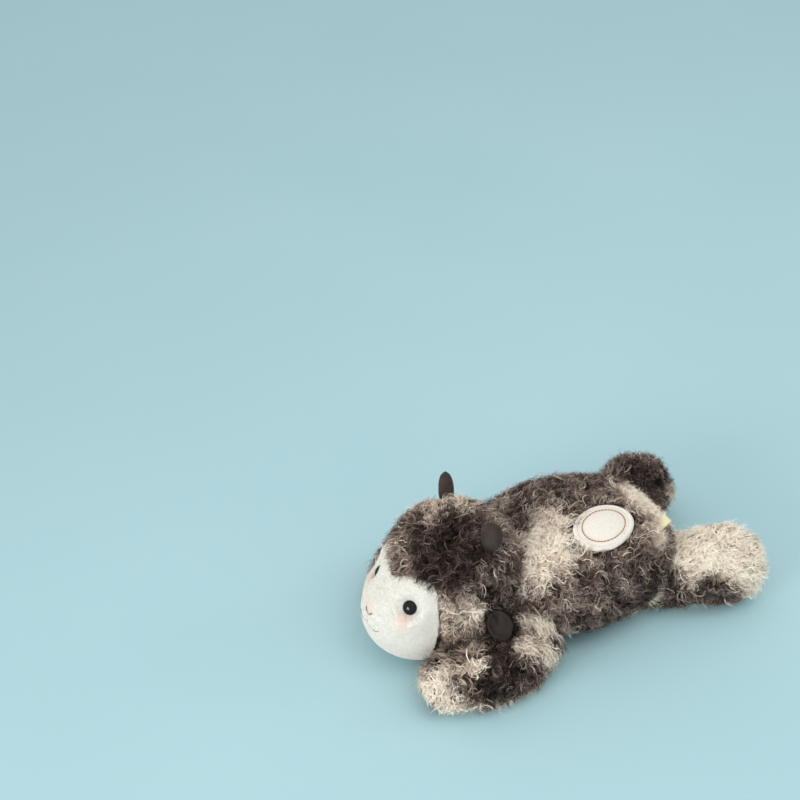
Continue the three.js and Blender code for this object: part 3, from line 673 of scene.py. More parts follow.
def wisp_arrays(roots, normals, lay, stand, length, tone, kind, draw):
    """Points, quads and map places of the ribbons that grow from the roots."""
    count, strands, steps = len(roots), kind["strands"], kind["steps"]
    side = normalised(np.cross(normals, lay))
    shape = (count, strands)

    # strands start all over a small disc, and differ only a little in their curl
    angle = draw.uniform(0, 2 * np.pi, shape)
    out = np.sqrt(draw.uniform(size=shape)) * kind["radius"]
    offset = (lay[:, None] * (np.cos(angle) * out)[..., None]
              + side[:, None] * (np.sin(angle) * out)[..., None])
    start = draw.uniform(0, 2 * np.pi, (count, 1)) + draw.normal(0, phase_spread, shape)
    turns = draw.uniform(*kind["turns"], (count, 1)) + draw.normal(0, turn_spread, shape)
    turns *= np.where(draw.uniform(size=(count, 1)) < 0.5, -1, 1)
    curl = draw.uniform(*kind["swing"], (count, 1)) * draw.uniform(0.88, 1.12, shape)
    lift = stand[:, None] * draw.uniform(0.7, 1.15, (count, 1)) * draw.uniform(0.9, 1.1, shape)
    step = (length[:, None] * draw.uniform(0.75, 1.05, shape) / steps)[..., None]

    # a strand rises, leans over to its lay, and swings round its curl all the way
    point = roots[:, None] + offset - normals[:, None] * MM * root_depth_in_mm
    path, ways = [point], []
    for i in range(steps):
        share = (i + 0.5) / steps
        phase = start + turns * 2 * np.pi * share
        swing = curl * min(1.0, 0.35 + 1.6 * share)
        rise = (1.1 - 0.9 * share) * lift + 0.4 * stand[:, None] * swing * np.cos(phase)
        way = (normals[:, None] * rise[..., None]
               + lay[:, None] * (0.45 + 0.5 * share + 0.65 * swing * np.cos(phase))[..., None]
               + side[:, None] * (swing * np.sin(phase))[..., None])
        way = normalised(way)
        point = point + way * step - offset * (0.7 / steps)
        path.append(point)
        ways.append(way)
    ways.append(ways[-1])
    path = np.stack(path, 2)
    ways = np.stack(ways, 2)
    path[..., 2] = np.maximum(path[..., 2], floor_gap)

    # each ribbon lies mostly flat on the pile, with a roll of its own
    roll = normalised(normals[:, None] + draw.normal(0, ribbon_roll, (count, strands, 3)))
    across = normalised(np.cross(ways, roll[:, :, None]))
    shares = np.linspace(0, 1, steps + 1)
    width = kind["width"] * (0.9 + 0.25 * tone[:, None]) * draw.uniform(0.75, 1.25, shape)
    width = width[..., None] * (1 - 0.75 * shares ** 2)
    half = across * (width / 2)[..., None]
    edges = np.stack([path - half, path + half], 3)
    points = edges.reshape(-1, 3)

    first = (np.arange(count * strands) * (steps + 1) * 2)[:, None]
    row = np.arange(steps)[None] * 2
    corner = first + row
    quads = np.stack([corner, corner + 1, corner + 3, corner + 2], -1).reshape(-1, 4)

    # a wisp's frost is how far its map runs up towards the bleached end
    frost = draw.beta(2.0, 1.6, (count, 1)) * draw.uniform(0.85, 1.0, shape)
    shown = np.clip(tone[:, None] + draw.normal(0, ribbon_tone_spread, shape), 0.01, 0.99)
    places = np.zeros((count, strands, steps + 1, 2, 2), np.float32)
    places[..., 0] = shown[:, :, None, None]
    places[..., 0, 0] -= map_half_width
    places[..., 1, 0] += map_half_width
    run = 0.02 + shares[None, None] * (0.3 + 0.66 * frost[..., None])
    places[..., 1] = run[..., None]
    return points, quads, places.reshape(-1, 2)


for name, kind in (("wool", wool), ("loose curls", loose_curls)):
    print(name, "wisp:", kind["strands"], "ribbons of", kind["steps"], "faces")

# %% [markdown]
# ## Combing and trimming
#
# The pile lies one way on each piece, but with swirls. It falls forward over the brow,
# and it is brushed back flat along the seam of the face. It is shorter next to bare
# parts, such as horns and badge, and longest low on the cheeks. None grows under the
# badge, or where one skin is inside another. It could be combed by hand with a brush
# tool, but formulas treat all the wisps alike and can be changed at any time.

# %% How the pile lies
# each piece has the way that its pile is brushed, and its length in mm
growth = {
    "body": ((0, 1, -0.5), 13.5),
    "head": ((0, 0.7, -0.8), 13.5),
    "ear_left": ((0.6, 0, -0.8), 9.0),
    "ear_right": ((-0.6, 0, -0.8), 9.0),
    "foreleg_left": ((0.5, -0.8, -0.4), 13.5),
    "foreleg_right": ((-0.8, -0.4, -0.4), 12.5),
    "hindleg_left": ((0.6, 0.8, -0.1), 14.5),
    "hindleg_right": ((-0.6, 0.8, -0.1), 14.5),
    "tail": ((0, 0.6, -0.8), 10.0),
}
swirl_waves = [wave_set(seed, 26 * MM) for seed in (21, 22, 23)]
small_swirls = [wave_set(seed, 9 * MM) for seed in (24, 25, 26)]
fringe_way = (0, -0.9, -0.7)
fringe_low, fringe_high = 70 * MM, 84 * MM
fringe_back, fringe_run = -125 * MM, 10 * MM
fringe_half, fringe_fade = 44 * MM, 8 * MM
seam_way = (0, 0.9, -0.35)
seam_reach = 14 * MM
way_weight, fringe_weight, seam_weight = 0.8, 1.6, 1.5
swirl_weight, little_weight = 0.9, 0.55


def fringe_share(points):
    """1 on the brow, where the pile falls forward over the face, and 0 elsewhere."""
    up = np.clip((points[:, 2] - fringe_low) / (fringe_high - fringe_low), 0, 1)
    front = np.clip((fringe_back - points[:, 1]) / fringe_run, 0, 1)
    inner = np.clip((fringe_half - np.abs(points[:, 0])) / fringe_fade, 0, 1)
    return up * front * inner


def seam_share(node, points):
    """1 where the pile is brushed back flat along the seam of the face, 0 away from it."""
    if node != "head":
        return np.zeros(len(points))
    away = np.abs(distance_to(cad_trees["face_panel"], points))
    return np.clip(1.1 - away / seam_reach, 0, 1) * (1 - fringe_share(points))


def lay_of(node, normals, points):
    """Direction in which the pile lies: brushed one way, with swirls."""
    wanted = np.tile(normalised(np.array([growth[node][0]], float)), (len(points), 1))
    wanted = wanted * way_weight
    if node == "head":
        forward = fringe_share(points)[:, None]
        fringe = normalised(np.array([fringe_way])) * forward * fringe_weight
        wanted = wanted * (1 - forward) + fringe
    swirl = np.stack([waves(points, chosen) for chosen in swirl_waves], 1)
    little = np.stack([waves(points, chosen) for chosen in small_swirls], 1)
    near = seam_share(node, points)[:, None]
    lay = wanted + swirl_weight * swirl + little_weight * little
    lay = lay * (1 - near) + normalised(np.array([seam_way])) * near * seam_weight
    return normalised(lay - normals * (lay * normals).sum(1)[:, None])


brow = fringe_share(points_of(skins["head"])) > 0.5
print("points of the head's skin on the brow:", brow.sum(), "of", len(brow))

# %% Where the pile is short, long or missing
length_waves = wave_set(27, 20 * MM)
length_swing, length_range = 0.14, (0.75, 1.15)
hidden_depth = 1.5 * MM
root_floor_gap = 0.2 * MM
under_slope, under_trim = -0.3, 0.3
under_height = under_length = 3.0 * MM
tuft_place = np.array([47, -118, 38]) * MM
tuft_reach, tuft_share = 20 * MM, 0.9


def clear_of(name, places, gap, reach, least):
    """0 within the gap of a CAD node, then from the least share up to 1 at the reach."""
    away = np.abs(distance_to(cad_trees[name], places))
    share = least + (1 - least) * np.clip((away - gap) / reach, 0, 1)
    return np.where(away > gap, share, 0)


def under_badge(places):
    """Which places the badge covers, seen from above."""
    up, reach = Vector((0, 0, 1)), 20 * MM
    badge_tree = cad_trees["badge"]
    return np.array([badge_tree.ray_cast(place, up, reach)[0] is not None
                     for place in places.tolist()])


def bare_share(node, places):
    """Share of the full length that the pile has near bare parts, 0 where there is none."""
    share = np.ones(len(places))
    if node == "head":
        cheek = clear_of("face_panel", places, gap=0.9 * MM, reach=20 * MM, least=0.6)
        brow = clear_of("face_panel", places, gap=0.9 * MM, reach=10 * MM, least=0.75)
        forward = fringe_share(places)
        share *= cheek + (brow - cheek) * forward
        for side in ("left", "right"):
            share *= clear_of("horn_" + side, places, gap=0.6 * MM, reach=9 * MM, least=0.35)
    if node in ("ear_left", "ear_right"):
        lining = node.replace("ear", "ear_lining")
        share *= clear_of(lining, places, gap=0.6 * MM, reach=6 * MM, least=0.6)
    if node == "body":
        share *= clear_of("badge", places, gap=0.5 * MM, reach=8 * MM, least=0.5)
        share *= ~under_badge(places)
    return share


def tuft_growth(roots):
    """How much longer the head's pile is low on both cheeks, where it hangs on the forelegs."""
    mirrored = np.column_stack([np.abs(roots[:, 0]), roots[:, 1:]])
    away = np.linalg.norm(mirrored - tuft_place, axis=1)
    return 1 + tuft_share * np.clip(1.3 - away / tuft_reach, 0, 1)


def rooted(node, spacing, draw):
    """Places, normals and lengths of the wisps that one piece grows."""
    roots, normals = scattered(skins[node], spacing, draw)
    hidden = np.zeros(len(roots), bool)
    for other in pile_nodes:
        if other != node:
            hidden |= distance_to(skin_trees[other], roots) < -hidden_depth
    share = bare_share(node, roots)
    keep = ~hidden & (share > 0) & (roots[:, 2] > root_floor_gap)
    roots, normals, share = roots[keep], normals[keep], share[keep]
    length = growth[node][1] * MM * share * (1 + length_swing * waves(roots, length_waves))
    length *= draw.uniform(*length_range, len(roots))
    length *= 1 - under_trim * np.clip(-normals[:, 2], 0, 1)
    if node == "head":
        length *= tuft_growth(roots)
    under = (normals[:, 2] < under_slope) & (roots[:, 2] < under_height)
    length[under] = np.minimum(length[under], under_length)
    return roots, normals, length


bare = bare_share("head", points_of(skins["head"])) == 0
print("points of the head's skin without pile:", bare.sum(), "of", len(bare))

# %% Pile for each piece
wisp_spacing = 2.05 * MM
loose_spacing = 2.7 * MM
loose_length_share = 1.25
pile_stand, seam_flatness = 0.72, 0.4
faces_in_piece = 190_000


def add_ribbons(node, name, roots, normals, length, tone, kind, draw):
    """Ribbons for all the roots, in as many meshes as their number asks for."""
    lay = lay_of(node, normals, roots)
    stand = pile_stand - seam_flatness * seam_share(node, roots)
    points, quads, places = wisp_arrays(roots, normals, lay, stand, length, tone, kind, draw)
    wisps = len(roots)
    triangles = 2 * kind["steps"] * kind["strands"]
    pieces = math.ceil(wisps * triangles / faces_in_piece)
    order = np.argsort(roots[:, 1], kind="stable")
    quads = quads.reshape(wisps, -1, 4)
    for number, chosen in enumerate(np.array_split(order, pieces)):
        used = quads[chosen].reshape(-1, 4)
        kept, again = np.unique(used, return_inverse=True)
        mesh = mesh_of(f"{node}_{name}_{number + 1}", points[kept], again.reshape(-1, 4))
        layer = mesh.uv_layers.new(name=MAP_NAME)
        layer.data.foreach_set("uv", places[kept][again.ravel()].ravel())
        add_object(mesh.name, mesh, pile, node)
    return wisps * triangles


def grow_pile(node, seed):
    draw = np.random.default_rng(seed)
    roots, normals, length = rooted(node, wisp_spacing, draw)

    # wisps of a middle tone differ most from each other
    tone = tone_at(node, roots)
    tone = np.clip(tone + draw.normal(0, 0.04 + 0.14 * tone * (1.2 - tone)), 0, 1)
    count = add_ribbons(node, "pile", roots, normals, length, tone, wool, draw)
    roots, normals, length = rooted(node, loose_spacing, draw)

    # loose curls are paler than the wisps that they lie on
    tone = tone_at(node, roots)
    tone = np.clip(tone + 0.7 * draw.uniform(size=len(roots)) ** 2 * (0.35 + tone), 0, 1)
    length *= loose_length_share
    count += add_ribbons(node, "curls", roots, normals, length, tone, loose_curls, draw)
    print(node, "pile:", count, "triangles")
    return count


total = sum(grow_pile(node, 100 + i) for i, node in enumerate(pile_nodes))
print("pile in all:", total, "triangles")

# %% [markdown]
# ## Face
#
# The face is one panel of short white plush, sewn in flush with the pile's backing.
# It is a padded form, so it starts from the CAD panel, melted and evened like the
# skins. Each eye is pulled in by its shank, so the plush swells up all round it. A blush is
# airbrushed on nose and cheeks: its colour fades with the distance from three places.
# Thousands of very short fibres stand on the panel and give it a soft outline, which
# a bump in the material alone would leave hard.

# %% Where each eye sits
def eye_axis(side):
    """The eye's point on the face and its outward direction, from the CAD eye."""
    points = node_arrays("eye_" + side)[0]
    centre = points.mean(0)
    way = np.linalg.svd(points - centre, full_matrices=False)[2]
    runs = (points - centre) @ way.T
    spans = np.ptp(runs, axis=0)
    i = int(np.argmax(spans))
    axis = way[i] * (1 if way[i][1] < 0 else -1)
    along = (points - centre) @ axis
    return centre + axis * along.max(), axis


eyes = {side: eye_axis(side) for side in ("left", "right")}
for side, (top, axis) in eyes.items():
    print(side, "eye looks along", np.round(axis, 2))

# %% Face plush
blush_places = {
    "nose": ((-2, -184, 55), 9, 0.2),
    "cheek near": ((29.5, -168, 56.5), 12, 0.28),
    "cheek far": ((-29.5, -168, 56.5), 12, 0.28),
}


def plush_material():
    material, tree, shader = new_material("face plush", roughness=0.85, specular=0.2,
                                          sheen=0.1)
    place = add_node(tree, "ShaderNodeTexCoord").outputs["Object"]
    nap = add_noise(tree, 700.0, 3.0)
    colour = add_ramp(tree, nap.outputs["Fac"], [
        (0.3, linear(223, 222, 216)),
        (0.7, linear(234, 233, 227)),
    ])
    for spot, reach, strength in blush_places.values():
        away = add_node(tree, "ShaderNodeVectorMath", {0: place}, operation="DISTANCE")
        away.inputs[1].default_value = [value * MM for value in spot]
        wanted = {"Value": away.outputs["Value"], "From Min": 0, "From Max": reach * MM,
                  "To Min": strength, "To Max": 0}
        fade = add_node(tree, "ShaderNodeMapRange", wanted, interpolation_type="SMOOTHERSTEP")
        colour = mixed(tree, fade.outputs["Result"], colour, linear(252, 184, 152))
    tree.links.new(colour, shader.inputs["Base Color"])
    add_bump(tree, shader, nap.outputs["Fac"], 0.25 * MM)
    return material


plush = plush_material()
print("places of blush:", ", ".join(blush_places))

# %% Face panel
face_voxel = 0.9 * MM
face_smoothing = 8
dimple_reach = 10 * MM
dimple_depth = 0.4 * MM
eye_height = 3.9 * MM
eye_sink = 0.6 * MM
hollow_edge = 5.2 * MM
hollow_crest = 12.0 * MM
hollow_reach = 26.0 * MM
crest_inside = 1.5 * MM
crest_outside = 4.6 * MM

# each shank pulls a small dimple into the panel
face_mesh = melted("face", [node_arrays("face_panel")], face_voxel, face_smoothing)
points = points_of(face_mesh)
for top, axis in eyes.values():
    foot = top - axis * eye_height
    away = np.linalg.norm(points - foot, axis=1)
    points -= axis * (dimple_depth * np.clip(1 - away / dimple_reach, 0, 1) ** 2)[:, None]

# round each dimple the plush swells up, most on the outer side of the face
resting = points.copy()
for top, axis in eyes.values():
    across = resting - top
    across -= axis * (across @ axis)[:, None]
    away = np.linalg.norm(across, axis=1)
    rise = eased((away - hollow_edge) / (hollow_crest - hollow_edge))
    rise *= 1 - eased((away - hollow_crest) / (hollow_reach - hollow_crest))
    outside = 0.5 + 0.5 * across[:, 0] * np.sign(top[0]) / np.maximum(away, MM)
    height = crest_inside + (crest_outside - crest_inside) * outside
    points += axis * (rise * height)[:, None]
points[:, 2] = np.maximum(points[:, 2], 0)
move_points(face_mesh, points)
face = add_object("face", face_mesh, plush, "head")
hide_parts("face_panel")
face_tree = tree_of(face_mesh)
print("face:", len(face_mesh.polygons), "faces")

# %% Short fibres on the face
stubble_spacing = 0.45 * MM
stubble_length = 1.1 * MM
stubble_width = 0.24 * MM
nap_seam_gap = 1.6 * MM
nap_eye_gap = 5.6 * MM
nap_root_height = 0.3 * MM
nap_low = 0.2 * MM


def stubble_arrays(roots, normals, draw):
    """Each fibre leans its own way, mostly down, and narrows in two steps to its tip."""
    lean = normalised(draw.normal(size=roots.shape) + np.array([0, 0.2, -0.5]))
    lean = normalised(lean - normals * (lean * normals).sum(1)[:, None])
    side = normalised(np.cross(normals, lean))
    length = stubble_length * draw.uniform(0.6, 1.1, len(roots))[:, None]
    middle = roots + (normals * 0.75 + lean * 0.35) * length * 0.5
    tip = roots + (normals * 0.75 + lean * 0.75) * length
    half = side * stubble_width / 2
    points = np.stack([roots - half, roots + half, middle - half * 0.8, middle + half * 0.8,
                       tip - half * 0.3, tip + half * 0.3], 1).reshape(-1, 3)
    start = (np.arange(len(roots)) * 6)[:, None]
    quads = np.stack([start + [0, 1, 3, 2], start + [2, 3, 5, 4]], 1).reshape(-1, 4)
    return points, quads


draw = np.random.default_rng(31)
roots, normals = scattered(face_mesh, stubble_spacing, draw)
inner = distance_to(skin_trees["head"], roots) < nap_seam_gap
under_eye = np.zeros(len(roots), bool)
for top, axis in eyes.values():
    under_eye |= np.linalg.norm(roots - (top - axis * eye_height), axis=1) < nap_eye_gap
keep = ~inner & ~under_eye & (roots[:, 2] > nap_root_height)
roots, normals = roots[keep], normals[keep]
order = np.argsort(roots[:, 0], kind="stable")
points, quads = stubble_arrays(roots[order], normals[order], draw)
points[:, 2] = np.maximum(points[:, 2], nap_low)
fibres = len(roots)
for side, start, end in (("right", 0, fibres // 2), ("left", fibres // 2, fibres)):
    mesh = mesh_of("face_nap_" + side, points[6 * start:6 * end],
                   quads[2 * start:2 * end] - 6 * start)
    add_object(mesh.name, mesh, plush, "head")
print("face nap:", fibres, "fibres")

# %% [markdown]
# ## Eyes
#
# A safety eye is a moulded dome with a shank. A turned profile gives exactly that, with
# a small rounded rim at the back of the dome, while a squashed ball would lack both rim
# and shank. The plastic is black through and through and very smooth, so that the
# lamps show in it as small bright spots.

# %% Eyes
eye_radius = 6.0 * MM
eye_rim = 0.5 * MM
shank_radius = 2.2 * MM
shank_length = 13 * MM
eye_sides = 64
other_way_round = [0, 3, 2, 1]


def grid_quads(rows, columns, closed=True):
    """Quads between the rows of a grid of points, the last column joined to the first."""
    j = np.arange(columns if closed else columns - 1)
    i = np.arange(rows - 1)[:, None] * columns
    k = (j + 1) % columns
    quads = np.stack([i + j, i + k, i + columns + k, i + columns + j], -1)
    return quads.reshape(-1, 4)


def turned(profile, foot, axis, sides):
    """Points and quads of a profile of (radius, height) pairs turned about an axis."""
    axis = Vector(axis)
    first = axis.orthogonal().normalized()
    second = axis.cross(first)
    turn = np.arange(sides) * 2 * np.pi / sides
    ring = np.cos(turn)[:, None] * np.array(first) + np.sin(turn)[:, None] * np.array(second)
    rows = [foot + ring * radius + np.array(axis) * height for radius, height in profile]
    return np.vstack(rows), grid_quads(len(profile), sides)[:, other_way_round]


gloss = mottled_material("eye gloss", linear(8, 8, 9), linear(16, 16, 18), scale=60.0,
                         roughness=0.07, specular=0.3)
dome = [(0.02 * MM, eye_height)]
for turn in np.linspace(0, np.pi / 2, 14)[1:]:
    dome.append((eye_radius * math.sin(turn), eye_height * math.cos(turn)))
back = [(eye_radius - eye_rim * 0.3, -eye_rim * 0.7), (eye_radius - eye_rim, -eye_rim),
        (shank_radius, -eye_rim), (shank_radius, -shank_length), (0.02 * MM, -shank_length)]
for side, (top, axis) in eyes.items():
    points, quads = turned(dome + back, top - axis * (eye_height + eye_sink), axis, eye_sides)
    eye = add_object("eye_dome_" + side, mesh_of("eye_dome_" + side, points, quads), gloss, "head")
    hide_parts("eye_" + side)
    print("eye", side, "stands", round((eye_height - eye_sink) / MM, 1), "mm proud")

# %% [markdown]
# ## Nose and mouth
#
# Both are embroidered with one brown thread: two shallow curves for the nose, a short
# upright stitch below them, and two arcs that turn up at the ends for the smile. Each
# line is drawn in plan as seen from the front, dropped on to the panel, and given the
# thread's round section with the twist of its plies. Painted lines would be quicker,
# but they would look flat from the side.

# %% A twisted thread
def thread_arrays(path, radius, plies=3, twist=1.1 * MM, sides=12):
    """A tube of twisted plies along a path of points."""
    path = np.array(path)
    ways = normalised(np.gradient(path, axis=0))
    first = normalised(np.cross(ways, [0.1, 0.2, 1.0]))
    second = np.cross(ways, first)
    run = np.concatenate([[0], np.cumsum(np.linalg.norm(np.diff(path, axis=0), axis=1))])
    turn = np.arange(sides) * 2 * np.pi / sides
    twisted = turn[None] * plies + (run[:, None] / twist) * 2 * np.pi
    end = np.clip(np.minimum(run, run[-1] - run) / radius, 0.05, 1)[:, None] ** 0.5
    wide = radius * (1 + 0.16 * np.cos(twisted)) * end
    points = (path[:, None] + first[:, None] * (np.cos(turn) * wide)[..., None]
              + second[:, None] * (np.sin(turn) * wide)[..., None]).reshape(-1, 3)
    return points, grid_quads(len(path), sides)


trial = thread_arrays([(0, 0, 0), (MM, 0, 0), (2 * MM, 0, 0)], 0.3 * MM)[1]
print("2 mm of thread:", len(trial), "faces")

# %% Lines on the face
def smooth_line(corners, count):
    """Points evenly along a smooth line through a few corners."""
    corners = np.array(corners, float)
    ends = np.vstack([2 * corners[0] - corners[1], corners, 2 * corners[-1] - corners[-2]])
    found = []
    for t in np.linspace(0, len(corners) - 1, count):
        i = min(int(t), len(corners) - 2)
        u = t - i
        a, b, c, d = ends[i:i + 4]
        found.append(0.5 * (2 * b + (c - a) * u + (2 * a - 5 * b + 4 * c - d) * u ** 2
                            + (3 * b - a - 3 * c + d) * u ** 3))
    return np.array(found)


def on_face(x, z, lift):
    """The point of the face in front of which x and z lie, seen from straight ahead."""
    near, normal, _, _ = face_tree.ray_cast(Vector((x, -1, z)), Vector((0, 1, 0)))
    return near + normal * lift


nose_radius = 0.36 * MM
mouth_radius = 0.22 * MM
row_step = 1.5
line_points = 40
nose_lift = (-0.1, 0.8)
stem_lift = (-0.15, -0.15)
mouth_lift = (0.0, 0.85)
nose_line = [(-4.9, 53.8), (-3.0, 51.5), (0, 50.4), (3.0, 51.5), (4.9, 53.8)]
stem_line = [(0, 50.4), (0, 44.4)]
smile_line = [(0, 44.4), (3.0, 41.5), (7.5, 40.0), (12.5, 40.8), (16.0, 43.4)]


def lift_at(x, corners, lift):
    """A stitched line sinks into the plush in the middle of the face and shows at its ends."""
    widest = max(abs(place[0]) for place in corners)
    share = (abs(x) / widest) ** 2 if widest else 0
    return (lift[0] + (lift[1] - lift[0]) * share) * MM


mouth_corner = on_face(smile_line[-1][0] * MM, smile_line[-1][1] * MM, 0)
print("mouth corner in mm:", [round(value / MM, 1) for value in mouth_corner])

# %% Nose and mouth
def thread_material(name, light, dark):
    return mottled_material(name, dark, light, scale=2500.0, detail=3.0, stops=(0.35, 0.65),
                            bump=0.1 * MM, roughness=0.55, specular=0.3, sheen=0.3)


brown_thread = thread_material("brown thread", linear(128, 98, 86), linear(84, 58, 50))
threads = []
for corners, rows, radius, lift in (
        (nose_line, 2, nose_radius, nose_lift),
        (stem_line, 1, mouth_radius, stem_lift),
        (smile_line, 1, mouth_radius, mouth_lift),
        ([(-x, z) for x, z in smile_line], 1, mouth_radius, mouth_lift)):
    for row in range(rows):
        drop = row * row_step * radius / MM
        line = smooth_line(corners, line_points)
        path = [on_face(x * MM, (z - drop) * MM, lift_at(x, corners, lift)) for x, z in line]
        threads.append(thread_arrays(path, radius))
points, quads = joined(threads)
embroidery = add_object("nose_and_mouth", mesh_of("nose_and_mouth", points, quads),
                        brown_thread, "head")
print("embroidery:", len(threads), "threads")

# %% [markdown]
# ## Horns and ear linings
#
# These are imitation suede: a matt, dark grey-brown cloth with a very fine nap that
# mottles where it is stroked. The horns are two petals sewn edge to edge, so a seam
# line runs round them. The forms come from the CAD solids, melted to lose their flats.
# Drawn anew as smooth surfaces they could drift away from the seats made for them.

# %% Suede pieces
horn_voxel, horn_smoothing = 0.7 * MM, 5
horn_reach_down = 4 * MM
lining_voxel, lining_smoothing = 0.45 * MM, 4
rim_lift = 1.8 * MM
rim_start, rim_run = 0.62, 0.2
crease_depth = 2.4 * MM
crease_width = 1.8 * MM


def suede_material(name, dark, light):
    """Suede is mottled by strokes over it, and its relief is a much finer nap."""
    material = mottled_material(name, dark, light, scale=140.0, detail=3.0, bump=0.15 * MM,
                                bump_noise=(1800.0, 2.0), roughness=0.9, specular=0.25,
                                sheen=0.08)
    shader = material.node_tree.nodes["Principled BSDF"]
    shader.inputs["Sheen Roughness"].default_value = 0.4
    return material


def cup(mesh):
    """Turn a lining's rim up a little and press a crease in from its root."""
    points = points_of(mesh)
    centre = points.mean(0)
    ways = np.linalg.svd(points - centre, full_matrices=False)[2]
    facing = ways[2] * (1 if ways[2][2] + 0.5 * abs(ways[2][0]) > 0 else -1)

    # the middle is level, the rim is turned up, and a crease runs in from the root
    runs = (points - centre) @ ways.T
    long_half, wide_half = np.abs(runs[:, 0]).max(), np.abs(runs[:, 1]).max()
    out = np.hypot(runs[:, 0] / long_half, runs[:, 1] / wide_half)
    toward_root = runs[:, 0] / long_half * (1 if ways[0][2] > 0 else -1)
    crease = np.exp(-(runs[:, 1] / crease_width) ** 2) * eased((toward_root + 0.2) / 0.6)
    lift = rim_lift * eased((out - rim_start) / rim_run)
    lift -= crease_depth * crease * (1 - eased(out - 0.6))
    move_points(mesh, points + facing * lift[:, None])


suede = suede_material("suede", linear(48, 40, 37), linear(63, 54, 51))
lining_suede = suede_material("lining suede", linear(34, 27, 25), linear(47, 39, 36))
for side in ("left", "right"):
    points, faces = node_arrays("horn_" + side)
    lower = points - np.array([0, 0, horn_reach_down])
    mesh = melted("horn_form_" + side, [(points, faces), (lower, faces)],
                  horn_voxel, horn_smoothing)
    horn = add_object("horn_form_" + side, mesh, suede, "head")
    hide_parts("horn_" + side)
    mesh = melted("lining_" + side, [node_arrays("ear_lining_" + side)],
                  lining_voxel, lining_smoothing)
    cup(mesh)
    lining = add_object("lining_" + side, mesh, lining_suede, "ear_" + side)
    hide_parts("ear_lining_" + side)
    print(side, "horn and lining:", len(mesh.polygons), "faces in the lining")

# %% [markdown]
# ## Badge
#
# A padded oval of ivory felt with an overlocked rim: one thick thread wraps round the
# edge again and again, so the rim reads as a row of slanting stitches. A ring of running
# stitches holds the padding. The oval follows the back, as the CAD badge under it does.
# The rim could be a bump on the felt, but real thread catches the light stitch by
# stitch.

# %% Badge
badge_middle = np.array([33.5, 15]) * MM
badge_turn = math.radians(17)
badge_halves = np.array([19, 30]) * MM
badge_sides = 96
badge_section = [(0.02, 0.75), (0.15, 0.74), (0.3, 0.7), (0.45, 0.6), (0.58, 0.4), (0.68, 0.1),
                 (0.74, -0.1), (0.8, 0.15), (0.88, 0.1), (0.95, -0.35), (0.99, -1.1),
                 (0.97, -1.9), (0.9, -2.3), (0.6, -2.4), (0.02, -2.4)]
held_share, slope_share = 0.97, 0.9
stitch_share, stitch_count, stitch_radius = 0.74, 40, 0.45 * MM
wrap_count, wrap_radius = 210, 0.42 * MM


def on_badge(share, turn, lift):
    """A place over the badge, by its share of the way out, its turn and its height."""
    plan = badge_halves * share * np.array([math.cos(turn), math.sin(turn)])
    cos, sin = math.cos(badge_turn), math.sin(badge_turn)
    x = badge_middle[0] + plan[0] * cos - plan[1] * sin
    y = badge_middle[1] + plan[0] * sin + plan[1] * cos

    # past the edge of the CAD badge, the slope of its rim is carried on
    reach = min(1.0, held_share / max(share, 0.01))
    held = badge_middle + (np.array([x, y]) - badge_middle) * reach
    top = cad_trees["badge"].ray_cast(Vector((*held, 1)), Vector((0, 0, -1)))[0]
    inner = badge_middle + (held - badge_middle) * slope_share
    under = cad_trees["badge"].ray_cast(Vector((*inner, 1)), Vector((0, 0, -1)))[0]
    slope = (top.z - under.z) / max(np.linalg.norm(held - inner), 1e-6)
    return np.array([x, y, top.z + slope * np.linalg.norm(np.array([x, y]) - held) + lift * MM])


turns = np.arange(badge_sides) * 2 * np.pi / badge_sides
rows = [np.array([on_badge(share, turn, lift) for turn in turns]) for share, lift in badge_section]
quads = grid_quads(len(rows), badge_sides)[:, other_way_round].tolist()
low = (len(rows) - 1) * badge_sides
for j in range(badge_sides // 2 - 1):
    strip = (j, j + 1, badge_sides - 2 - j, badge_sides - 1 - j)
    quads += [strip, tuple(low + corner for corner in reversed(strip))]
felt = mottled_material("ivory felt", linear(222, 216, 205), linear(242, 238, 229),
                        scale=900.0, detail=5.0, bump=0.35 * MM, roughness=0.92,
                        specular=0.15, sheen=0.25)
badge = add_object("badge_felt", mesh_of("badge_felt", np.vstack(rows), np.array(quads)),
                   felt, "body")
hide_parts("badge")
print("badge:", len(quads), "faces")

# %% Stitches of the badge
rim_thread = thread_material("rim thread", linear(248, 245, 238), linear(222, 219, 212))
tan_thread = thread_material("tan thread", linear(190, 132, 84), linear(128, 82, 50))
wrap_section = [(0.9, -0.15), (0.93, 0.5), (0.98, 0.55), (1.025, 0.0), (1.035, -0.9), (1.0, -1.7)]
wraps = []
for i in range(wrap_count):
    turn = i * 2 * math.pi / wrap_count
    slant = 1.6 * math.pi / wrap_count
    path = [on_badge(share, turn + slant * j / 5, lift)
            for j, (share, lift) in enumerate(wrap_section)]
    wraps.append(thread_arrays(smooth_line(path, 12), wrap_radius, sides=6))
points, quads = joined(wraps)
rim = add_object("badge_rim", mesh_of("badge_rim", points, quads), rim_thread, "body")
runs = []
for i in range(stitch_count):
    start = i * 2 * math.pi / stitch_count
    span = 1.25 * math.pi / stitch_count
    line = [(0, -0.7), (0.12, 0.15), (0.5, 0.35), (0.88, 0.15), (1, -0.7)]
    path = [on_badge(stitch_share, start + span * along, lift) for along, lift in line]
    runs.append(thread_arrays(smooth_line(path, 16), stitch_radius, sides=8))
points, quads = joined(runs)
stitches = add_object("badge_stitches", mesh_of("badge_stitches", points, quads),
                      tan_thread, "body")
print("badge stitches:", wrap_count, "round the rim and", stitch_count, "in the ring")

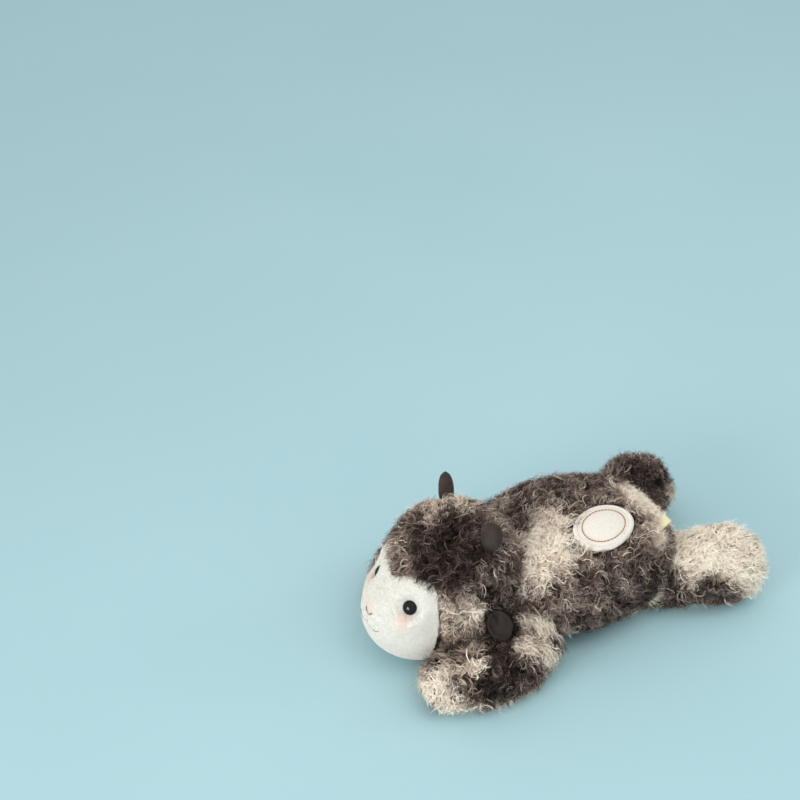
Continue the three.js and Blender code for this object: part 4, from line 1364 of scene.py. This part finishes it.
# %% [markdown]
# ## Label and washers
#
# The care label is a strip of woven satin, folded once, with both ends caught in the
# hip seam. It is one thin sheet, so it is made as a plain grid of faces along the fold.
# A cloth simulation could fold it, but so short a strip only takes this one form.
# The lock washers sit out of sight behind the face and only need their moulded plastic.

# %% Care label
label_width = 11 * MM
label_length = 13 * MM
label_fold = 0.5 * MM
label_wave = 0.35 * MM
label_sag = 0.3 * MM
label_lean = math.radians(35)
label_rows = 48
label_columns = 12


def satin_material():
    material, tree, shader = new_material("satin ribbon", roughness=0.38, sheen=0.2)
    shader.inputs["Anisotropic"].default_value = 0.5
    place = add_node(tree, "ShaderNodeTexCoord").outputs["Object"]
    weave = add_node(tree, "ShaderNodeTexWave", {"Vector": place, "Scale": 900.0,
                                                 "Distortion": 0.6})
    colour = add_ramp(tree, weave.outputs["Fac"], [
        (0.2, linear(222, 216, 170)),
        (0.8, linear(240, 235, 198)),
    ])
    tree.links.new(colour, shader.inputs["Base Color"])
    add_bump(tree, shader, weave.outputs["Fac"], 0.08 * MM)
    return material


along = np.array([0, math.cos(label_lean), math.sin(label_lean)])
through = np.array([0, -math.sin(label_lean), math.cos(label_lean)])
points = node_arrays("care_label")[0]
tip = (points @ along).max()
level = ((points @ through).max() + (points @ through).min()) / 2
centre = (points[:, 0].max() + points[:, 0].min()) / 2
flat_length = 2 * label_length + math.pi * label_fold
rows = []
for run in np.linspace(-flat_length / 2, flat_length / 2, label_rows):
    bend = math.pi * label_fold / 2
    if abs(run) < bend:
        out = tip - label_fold + label_fold * math.cos(run / label_fold)
        rise = label_fold * math.sin(run / label_fold)
    else:
        out = tip - label_fold - (abs(run) - bend)
        rise = math.copysign(label_fold, run)
    wave = label_wave * math.sin((tip - out) / label_length * math.pi)
    for across in np.linspace(-label_width / 2, label_width / 2, label_columns):
        sag = label_sag * math.cos(across / label_width * math.pi)
        rows.append(np.array([centre + across, 0, 0]) + along * out
                    + through * (level + rise + wave + sag))
quads = grid_quads(label_rows, label_columns, closed=False)
label = add_object("satin_label", mesh_of("satin_label", np.array(rows), quads),
                   satin_material(), "body")
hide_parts("care_label")
print("label strip:", round(flat_length / MM, 1), "mm long before it is folded")

# %% Lock washers
washer = mottled_material("washer plastic", linear(224, 224, 220), linear(238, 238, 235),
                          scale=220.0, detail=3.0, bump=0.05 * MM, roughness=0.45)
for side in ("left", "right"):
    node = frame["nodes"]["eye_washer_" + side]
    for slot in node.material_slots:
        slot.material = washer
    print("washer", side, "slots:", len(node.material_slots))
